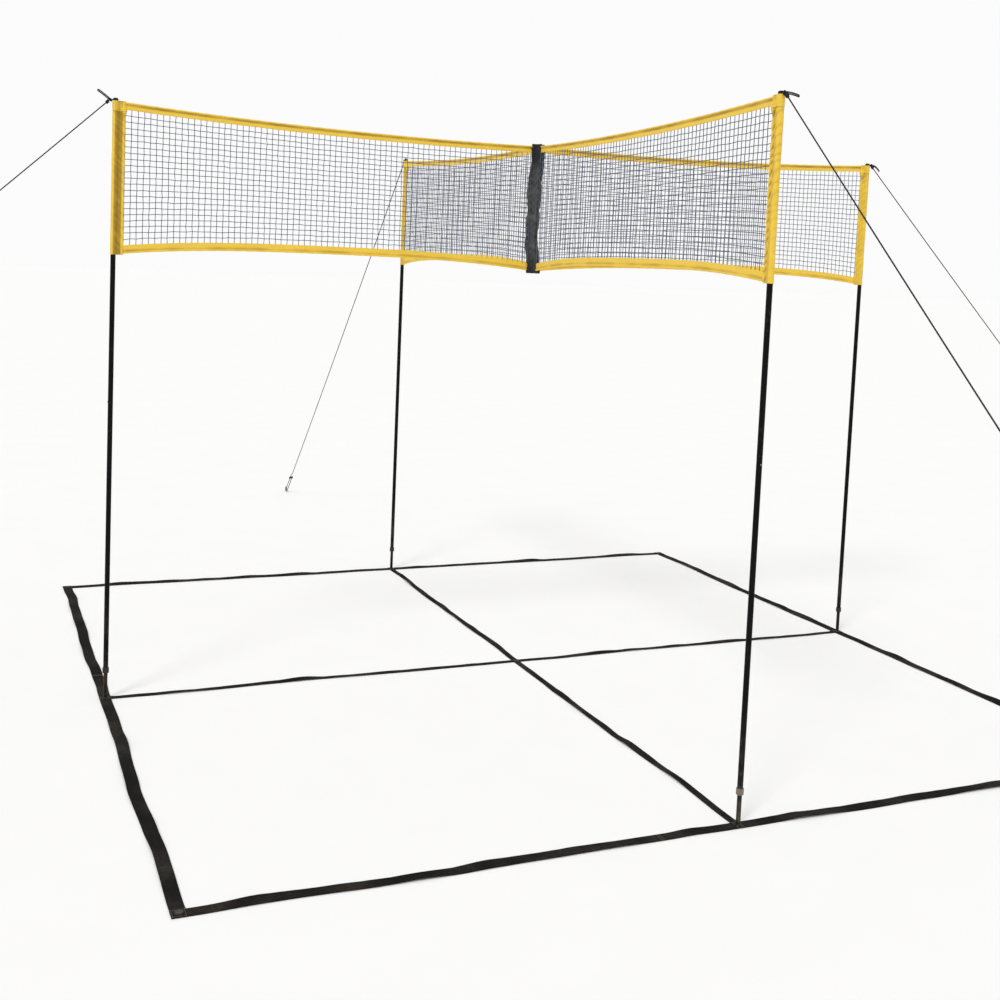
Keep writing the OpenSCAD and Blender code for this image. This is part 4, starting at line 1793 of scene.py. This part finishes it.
    def seams(self) -> Patch:
        """The seam under each hem and the seam that holds the netting, through both faces.

        Returns:
            The stitches of both tapes.
        """
        stitch = Stitch(3.4 * MM, 0.8 * MM, 2 * self.layer_t + 1.1 * MM)
        x = self.stations(self.ring_step)
        parts = []
        for edge, width, sense in (
            (self.top(x), self.top_tape_w, -1.0),
            (self.bottom(x), self.bottom_tape_w, 1.0),
        ):
            for depth in (2 * self.hem_r + 2.2 * MM, width - 4 * MM):
                z = edge + sense * depth
                line = np.stack([x, self.drift(x, z), z], axis=1)[1:-1]
                parts.append(stitch.seam(line, Y_AXIS))
        return join(parts)

    def cord_line(self, top: bool) -> np.ndarray:
        """The line of a hem's cord.

        Args:
            top: True for the top tape's cord.

        Returns:
            The cord's centres.
        """
        x = self.stations(self.cord_step)
        z = self.top(x) - self.hem_r if top else self.bottom(x) + self.hem_r
        return np.stack([x, self.drift(x, z), z], axis=1)

    def build(self, palette: Palette) -> None:
        """Makes the panel's netting, tapes, seams and hem cords.

        Args:
            palette: The finishes.
        """
        label, body = self.side.label, "net_frame"
        net = make_piece(
            f"netting_{label}", self.netting().turned(self.side), palette.twine, body
        )
        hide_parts(f"net_{label}")
        for top, name, cords in (
            (True, f"top_tape_{label}", "head_cords"),
            (False, f"bottom_tape_{label}", "foot_cords"),
        ):
            tape = make_piece(
                f"{name}_cloth", self.tape(top).turned(self.side), palette.tape, body
            )
            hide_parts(name)
            strand = Strand(self.cord_r, sides=9, lay=0.03)
            cord = strand.along(self.cord_line(top), Y_AXIS)
            piece = make_piece(
                f"{cords}_{label}", cord.turned(self.side), palette.cord, body
            )
            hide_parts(cords)
        make_piece(
            f"tape_seams_{label}", self.seams().turned(self.side), palette.thread,
            body,
        )


@dataclass(frozen=True)
class PoleSleeve:
    """A cloth sleeve round a pole, flattened to a web that the panel is sewn to."""

    sizes: FrameSizes
    side: Side
    gap: float = 0.3 * MM
    cloth_t: float = 1.7 * MM
    web_half: float = 1.9 * MM
    hem_half: float = 2.9 * MM
    hem_w: float = 10 * MM
    band_h: float = 41 * MM
    band_t: float = 0.9 * MM
    fold: float = 1.0 * MM
    crease_pitch: float = 31 * MM
    crease_slant: float = 1.0
    tuck_out: float = 7.5 * MM
    tuck_w: float = 10 * MM
    tuck_h: float = 14 * MM
    around: int = 34
    ring_step: float = 3 * MM
    bore_rings: int = 8
    # Painted shade inside the sleeve's bore.
    bore_painted_shade: float = 0.3

    @property
    def web_shade(self) -> float:
        """Painted shade of the web between its two painted-light rims, darkest on the left side."""
        return {Side.LEFT: 0.14, Side.FRONT: 0.68, Side.RIGHT: 0.90, Side.BACK: 0.70}[self.side]

    @property
    def pull(self) -> float:
        """How hard the net drags this side's cloth into creases."""
        return {Side.LEFT: 0.35, Side.FRONT: 1.0, Side.RIGHT: 0.25, Side.BACK: 0.4}[self.side]

    def rest_ring(self) -> tuple[np.ndarray, np.ndarray]:
        """Outline of the sleeve and the outline of its bore, about the pole's axis.

        Half thickness at x is the smooth larger of the pole's circle, sqrt(R^2 - x^2), and the
        web, which thickens to a round hem at the net. Places are crowded towards both ends.

        Returns:
            The outer outline and the inner one, with equal numbers of points.
        """
        tip = self.sizes.panel_end - self.sizes.reach
        radius = self.sizes.pole_r + self.gap + self.cloth_t
        q = np.linspace(0.0, 1.0, self.around)
        x = tip + (radius - tip) * (1 - np.cos(math.pi * q)) / 2
        circle = np.sqrt(np.clip(radius**2 - x**2, 0.0, None))
        hem = np.exp(-(((x - tip - self.hem_w / 2) / (self.hem_w / 2)) ** 4))
        web = self.web_half + (self.hem_half - self.web_half) * hem
        web = web * np.sqrt(np.clip((x - tip) / self.hem_half, 0.0, 1.0))
        web = web * np.clip(1 - x / radius, 0.0, 1.0) ** 0.5
        half = (circle**4 + web**4) ** 0.25
        outer = np.concatenate([np.stack([x, half], 1), np.stack([x, -half], 1)[-2:0:-1]])
        bore = self.sizes.pole_r + self.gap
        turn = math.pi * (1 - q)
        arc = bore * np.stack([np.cos(turn), np.sin(turn)], axis=1)
        inner = np.concatenate([arc, (arc * [1.0, -1.0])[-2:0:-1]])
        return outer, inner

    def folds(self, x: np.ndarray, y: np.ndarray, z: np.ndarray) -> np.ndarray:
        """How far the cloth stands out: slanting pulls and a soft crumple.

        Args:
            x: Places from the pole's axis.
            y: Places across.
            z: Heights.

        Returns:
            Offsets along the outline's normal.
        """
        seed = self.side.seed + 300
        crumple = Ripple(seed, (0.16, 0.07, 0.045, 0.03), (0.30, 0.25, 0.18, 0.12))
        pulls = 1.8 * np.abs(self.creases(x, z)) * self.pulled(x, z)
        return self.fold * (crumple.over(x + y, z) + pulls)

    def creases(self, x: np.ndarray, z: np.ndarray) -> np.ndarray:
        """Slanting creases, one to a pitch, rising towards the pole: sin(pi (z - slant x) / pitch).

        Args:
            x: Places from the pole's axis.
            z: Heights.

        Returns:
            A value that is 0 in each crease.
        """
        drift = Ripple(self.side.seed + 301, (0.19, 0.083), (7 * MM, 4 * MM)).along(z)
        return np.sin(math.pi * (z - self.crease_slant * x + drift) / self.crease_pitch)

    def pulled(self, x: np.ndarray, z: np.ndarray) -> np.ndarray:
        """How far the cloth is creased: all down the web, and near the top over the pole.

        Args:
            x: Places from the pole's axis.
            z: Heights.

        Returns:
            The share at each place.
        """
        height = (z - self.sizes.sleeve_low) / (self.sizes.sleeve_high - self.sizes.sleeve_low)
        patches = Ripple(self.side.seed + 302, (0.35, 0.2), (0.15, 0.1)).along(z)
        over_pole = smooth((x + self.sizes.pole_r) / self.sizes.pole_r)
        kept = 1 - over_pole * (0.9 - 0.4 * height)
        return self.pull * smooth(0.65 + 0.35 * height + patches) * kept

    def tuck(self, x: np.ndarray, z: np.ndarray) -> np.ndarray:
        """The bulge where the top tape's corner is tucked in under the doubled band.

        Args:
            x: Places from the pole's axis.
            z: Heights.

        Returns:
            The bell exp(-((x - a) / w)^2 - ((z - b) / h)^2) of the bulge, from 0 to 1.
        """
        middle_x = self.sizes.panel_end - self.sizes.reach + 0.6 * self.tuck_w
        middle_z = self.sizes.sleeve_high - self.band_h + 0.1 * self.tuck_h
        return np.exp(-(((x - middle_x) / self.tuck_w) ** 2) - ((z - middle_z) / self.tuck_h) ** 2)

    def sleeve(self) -> Patch:
        """The sleeve as one closed cloth wall, open where the pole passes.

        Returns:
            The sleeve about the pole's place.
        """
        low, high = self.sizes.sleeve_low, self.sizes.sleeve_high
        seam = high - self.band_h
        even = np.linspace(low, high, round((high - low) / self.ring_step))
        steps = seam + np.array([-3.0, -1.2, 0.0, 0.8, 2.0]) * MM
        z = np.unique(np.concatenate([even[np.abs(even - seam) > 4 * MM], steps]))
        outer, inner = self.rest_ring()
        normal = outward_normals(outer)
        grid_z = np.broadcast_to(z[:, None], (len(z), len(outer)))
        grid_x = np.broadcast_to(outer[None, :, 0], grid_z.shape)
        tip = outer[0, 0]
        hem = smooth((tip + self.hem_w + 2 * MM - outer[:, 0]) / (2 * MM))
        offset = self.folds(grid_x, outer[None, :, 1], grid_z)
        tuck = self.tuck(grid_x, grid_z)
        puckered = offset * (1 + self.pull * hem[None, :])
        settled = np.clip(puckered, -0.9 * MM, 3.6 * MM) + self.tuck_out * tuck
        band = self.band_t * smooth((z - seam) / (0.8 * MM)) - 0.7 * MM * np.exp(
            -(((z - seam + 1.2 * MM) / (1.0 * MM)) ** 2)
        )
        shape = outer[None] + (settled + band[:, None])[..., None] * normal[None]
        bore_z = np.linspace(high, low, self.bore_rings)
        inside = raised(np.broadcast_to(inner, (self.bore_rings, *inner.shape)), bore_z)
        rings = np.concatenate([raised(shape, z), inside]) + self.sizes.reach * X_AXIS
        # Painted light on the hem, the outer rim and the band; painted shade over the web, in the
        # crease beside the hem and under the band's lower edge.
        rim = smooth((outer[:, 0] - 0.5 * MM) / (5 * MM))
        crease = np.exp(-(((outer[:, 0] - tip - self.hem_w - 1 * MM) / (1.6 * MM)) ** 2))
        edge = np.exp(-(((z - seam + 1.0 * MM) / (1.8 * MM)) ** 2))
        band_share = smooth((z - seam) / (1 * MM))[:, None]
        light = np.maximum(np.maximum(hem, rim)[None, :], 0.75 * band_share)
        body_tone = self.web_shade + (1.0 - self.web_shade) * light - 0.35 * crease[None, :]
        # Painted shade in the creases' valleys, and painted light and shade where the folds stand
        # out or sink in.
        valley = np.exp(-((self.creases(grid_x, grid_z) / 0.5) ** 2)) * self.pulled(grid_x, grid_z)
        scuffing_and_painted_shade = 0.16 * (offset / self.fold - 0.5) - 0.75 * valley * (1 - band_share)
        # Painted highlight on the tucked bulge, with painted shade round it.
        tuck_rim_shade = 1.3 * tuck**0.3 * (1 - 0.6 * band_share)
        tone = body_tone - 0.6 * edge[:, None] + scuffing_and_painted_shade + 2.0 * tuck - tuck_rim_shade
        # Painted shade inside the bore.
        bore = np.full((self.bore_rings, len(inner)), self.bore_painted_shade)
        tone = np.concatenate([np.clip(tone, 0.0, 1.0), bore])
        along = np.concatenate([z, z[-1] + (z[-1] - bore_z)])
        return skin(rings, along, around_length(outer), tone, ring_shaped=True)

    def seams(self) -> Patch:
        """Upright seams beside the pole and along the hem, and level ones round the band.

        Returns:
            The stitches.
        """
        tip = self.sizes.panel_end
        low, high = self.sizes.sleeve_low, self.sizes.sleeve_high
        parts = []
        root = self.sizes.reach - self.sizes.pole_r - 5 * MM
        lines = [(root, self.web_half), (tip + self.hem_w - 1.5 * MM, self.hem_half)]
        for x, half in lines:
            stitch = Stitch(3.4 * MM, 0.8 * MM, 2 * half + 1.5 * MM)
            line = np.array([[x, 0.0, low + 6 * MM], [x, 0.0, high - 6 * MM]])
            parts.append(stitch.seam(line, Y_AXIS))
        level = high - self.band_h + 4 * MM
        stitch = Stitch(3.4 * MM, 0.8 * MM, 2 * (self.hem_half + self.band_t) + 1.5 * MM)
        line = np.array([[tip + 4 * MM, 0.0, level], [root, 0.0, level]])
        parts.append(stitch.seam(line, Y_AXIS))
        return join(parts)

    def build(self, palette: Palette) -> None:
        """Makes the sleeve and its seams.

        Args:
            palette: The finishes.
        """
        label = self.side.label
        patch = self.sleeve()
        sleeve = make_piece(
            f"pole_sleeve_cloth_{label}", patch.turned(self.side), palette.sleeve,
            "net_frame",
        )
        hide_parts(f"pole_sleeve_{label}")
        outer, _ = self.rest_ring()
        girth = float(around_length(outer)[-1])
        make_piece(
            f"sleeve_seams_{label}", self.seams().turned(self.side), palette.thread,
            "net_frame",
        )


@dataclass(frozen=True)
class CentreStrap:
    """The dark cloth that gathers the four panels: an arm to each and a crumpled core."""

    sizes: FrameSizes
    arm: float = 34 * MM
    arm_half: float = 4.0 * MM
    core_r: float = 13 * MM
    crumple: float = 3.0 * MM
    wander: float = 2.5 * MM
    sway: float = 11 * MM
    sway_to: tuple[float, float] = (-0.92, 0.40)
    points_per_arm: int = 26
    ring_step: float = 4 * MM

    def ring(self) -> np.ndarray:
        """Star-shaped outline: half thickness at x is the smooth larger of core and arm.

        Returns:
            The outline's points, (n, 2).
        """
        q = np.linspace(0.0, 1.0, self.points_per_arm // 2)
        start = self.core_r / math.sqrt(2)
        x = start + (self.arm - start) * np.sin(q * math.pi / 2)
        circle = np.sqrt(np.clip(self.core_r**2 - x**2, 0.0, None))
        flat = self.arm_half * np.sqrt(np.clip((self.arm - x) / self.arm_half, 0.0, 1.0))
        half = np.minimum((circle**4 + flat**4) ** 0.25, x)
        arm = np.concatenate([np.stack([x, -half], 1), np.stack([x, half], 1)[-2::-1]])
        angles = [0.0, math.pi / 2, math.pi, 3 * math.pi / 2]
        turns = [(math.cos(a), math.sin(a)) for a in angles]
        return np.concatenate([(arm @ np.array([[c, s], [-s, c]]))[:-1] for c, s in turns])

    def build(self, palette: Palette) -> None:
        """Makes the strap.

        Args:
            palette: The finishes.
        """
        ring = self.ring()
        low, high = self.sizes.strap_low, self.sizes.strap_high
        z = np.linspace(low, high, round((high - low) / self.ring_step))
        normal = outward_normals(ring)
        x, y, height = ring[None, :, 0], ring[None, :, 1], z[:, None]
        folds = Ripple(71, (0.11, 0.06, 0.041, 0.027), (0.4, 0.35, 0.25, 0.2)).over(2.2 * x, height)
        more = Ripple(72, (0.09, 0.05, 0.033), (0.4, 0.35, 0.2)).over(2.2 * y, height)
        creases = np.abs(Ripple(73, (0.047, 0.031), (0.6, 0.4)).over(x - y, height)) - 0.4
        offset = self.crumple * (folds * more + 0.5 * folds + 0.7 * creases)
        waist = 1 - 0.14 * Ripple(74, (0.31, 0.17), (0.6, 0.4)).along(z) ** 2
        ends = window(z, low - 5 * MM, high + 5 * MM, 40 * MM)
        shift = [
            Ripple(75 + k, (0.55, 0.26), (0.7, 0.3)).along(z) * self.wander * ends for k in (0, 1)
        ]
        hang = self.sway * window(z, low + 40 * MM, high - 70 * MM, 110 * MM)
        shape = ring[None] * waist[:, None, None] + offset[..., None] * normal[None]
        moved = np.stack(shift, axis=1) + hang[:, None] * np.array(self.sway_to)
        rings = raised(shape + moved[:, None, :], z)
        # Painted shade in the folds, lighter where the cloth stands out; the tone also darkens
        # towards both ends.
        away_from_ends = window(z, low - 4 * MM, high - 40 * MM, 130 * MM)[:, None]
        tone = np.clip((0.70 + 0.50 * offset / self.crumple) * (0.16 + 0.84 * away_from_ends), 0.0, 1.0)
        patch = skin(rings, z, around_length(ring), tone)
        strap = make_piece("centre_strap_cloth", patch, palette.strap, "net_frame")
        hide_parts("centre_strap")
        girth = float(around_length(ring)[-1])


# ---------- Hardware ----------


def dress_frame(frame: dict, palette: Palette) -> None:
    """Gives the frame's own solids their finishes.

    Where two names fit a node, the later one counts: the front foot keeps the pale finishes, and
    the other feet get darker copies of them as painted shade.

    Args:
        palette: The finishes.
    """
    finishes = {
        "lower_pole": palette.pole,
        "upper_pole": palette.pole,
        "leg": palette.shaded_leg,
        "leg_front": palette.leg,
        "foot_plugs": palette.plastic,
        "corner_pegs": palette.plastic,
        "guide_bushes": palette.plastic,
        "pole_caps": palette.plastic,
        "rope_runner": palette.plastic,
        "lock_collar": palette.shaded_collar,
        "lock_collar_front": palette.pale_collar,
        "snap_button": palette.rod,
        "guy_stakes": palette.rod,
    }
    for name, node in frame["nodes"].items():
        for start, finish in finishes.items():
            if name == start or name.startswith(f"{start}_"):
                node.data.materials.clear()
                node.data.materials.append(finish)
                LOG.info("%s: %s", name, finish.name)


# ---------- Studio ----------


@dataclass(frozen=True)
class Studio:
    """Pale floor and sky, soft lamps and the camera."""

    focal_px: float = 1280.67
    image_px: float = 1000.0
    middle_y_px: float = 369.27
    camera_at: tuple[float, float, float] = (-2.4503, -5.3407, 1.8438)
    yaw: float = -23.364
    pitch: float = -4.632
    roll: float = -2.431
    sensor_mm: float = 36.0
    floor_half: float = 120.0
    floor_z: float = -1.0 * MM
    sky: float = 0.80
    sun: float = 1.1
    sun_angle: float = 14.0

    def camera(self) -> None:
        """Sets up the camera: turned by yaw about Z, then pitch, then roll about its own view."""
        data = bpy.data.cameras.new("view_camera")
        data.sensor_width = self.sensor_mm
        data.lens = self.focal_px / self.image_px * self.sensor_mm
        data.shift_y = (self.middle_y_px - self.image_px / 2) / self.image_px
        data.clip_end = 400.0
        turns = [
            Matrix.Rotation(math.radians(angle), 3, axis)
            for angle, axis in ((self.yaw, "Z"), (self.pitch, "X"), (self.roll, "Y"))
        ]
        turn = turns[0] @ turns[1] @ turns[2]
        right, forward, up = turn.col
        matrix = Matrix((right, up, -forward)).transposed().to_4x4()
        matrix.translation = Vector(self.camera_at)
        camera = bpy.data.objects.new("view_camera", data)
        camera.matrix_world = matrix
        bpy.context.scene.collection.objects.link(camera)
        bpy.context.scene.camera = camera

    def floor(self) -> None:
        """A pale floor that keeps the object's shadow and fades into the pale sky far off."""
        half = self.floor_half
        corners = [(-half, -half), (half, -half), (half, half), (-half, half)]
        mesh = bpy.data.meshes.new("floor")
        mesh.from_pydata([(x, y, self.floor_z) for x, y in corners], [], [(0, 1, 2, 3)])
        material = bpy.data.materials.new("pale_floor")
        material.use_nodes = True
        wiring = Wiring(material.node_tree)
        shader = material.node_tree.nodes["Principled BSDF"].inputs
        shader["Roughness"].default_value = 0.9
        shader["Specular IOR Level"].default_value = 0.1
        shade = wiring.noise(wiring.place(), 3.0, 6.0)
        wiring.feed(
            shader["Base Color"],
            wiring.blend(shade, (0.915, 0.913, 0.905, 1.0), (0.945, 0.943, 0.935, 1.0)),
        )
        mesh.materials.append(material)
        floor = bpy.data.objects.new("floor", mesh)
        bpy.context.scene.collection.objects.link(floor)

    def light(self) -> None:
        """An even pale sky, whiter where the camera looks at it, and one broad soft sun."""
        world = bpy.data.worlds.new("pale_sky")
        world.use_nodes = True
        bpy.context.scene.world = world
        wiring = Wiring(world.node_tree)
        back = world.node_tree.nodes["Background"]
        path = wiring.add("ShaderNodeLightPath").outputs
        seen = wiring.math("MAXIMUM", path["Is Camera Ray"], path["Is Glossy Ray"])
        wiring.feed(back.inputs["Color"], (1.0, 1.0, 1.0, 1.0))
        strength = wiring.math("MULTIPLY_ADD", seen, 0.97 - self.sky, self.sky)
        wiring.feed(back.inputs["Strength"], strength)
        data = bpy.data.lights.new("broad_sun", "SUN")
        data.energy = self.sun
        data.angle = math.radians(self.sun_angle)
        lamp = bpy.data.objects.new("broad_sun", data)
        lamp.rotation_euler = (math.radians(42.0), math.radians(-12.0), math.radians(-35.0))
        bpy.context.scene.collection.objects.link(lamp)

    def build(self) -> None:
        """Sets up the camera, the floor, the light and the plain view transform."""
        self.camera()
        self.floor()
        self.light()
        bpy.context.scene.view_settings.view_transform = "Standard"


def main() -> None:
    """Loads the frame and builds every sub-assembly round it."""
    logging.basicConfig(level=logging.INFO, format="%(name)s: %(message)s")
    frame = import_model()
    Studio().build()
    palette = Palette()
    sizes = FrameSizes.read()
    line = GuyLine(sizes.reach)
    for side in Side:
        line.build(side, palette)
        HeadKnot(line).build(side, palette)
    CourtWebbing(sizes).build(palette)
    for side in Side:
        NetPanel(sizes, side).build(palette)
        PoleSleeve(sizes, side).build(palette)
    CentreStrap(sizes).build(palette)
    dress_frame(frame, palette)


if __name__ == "__main__":
    main()
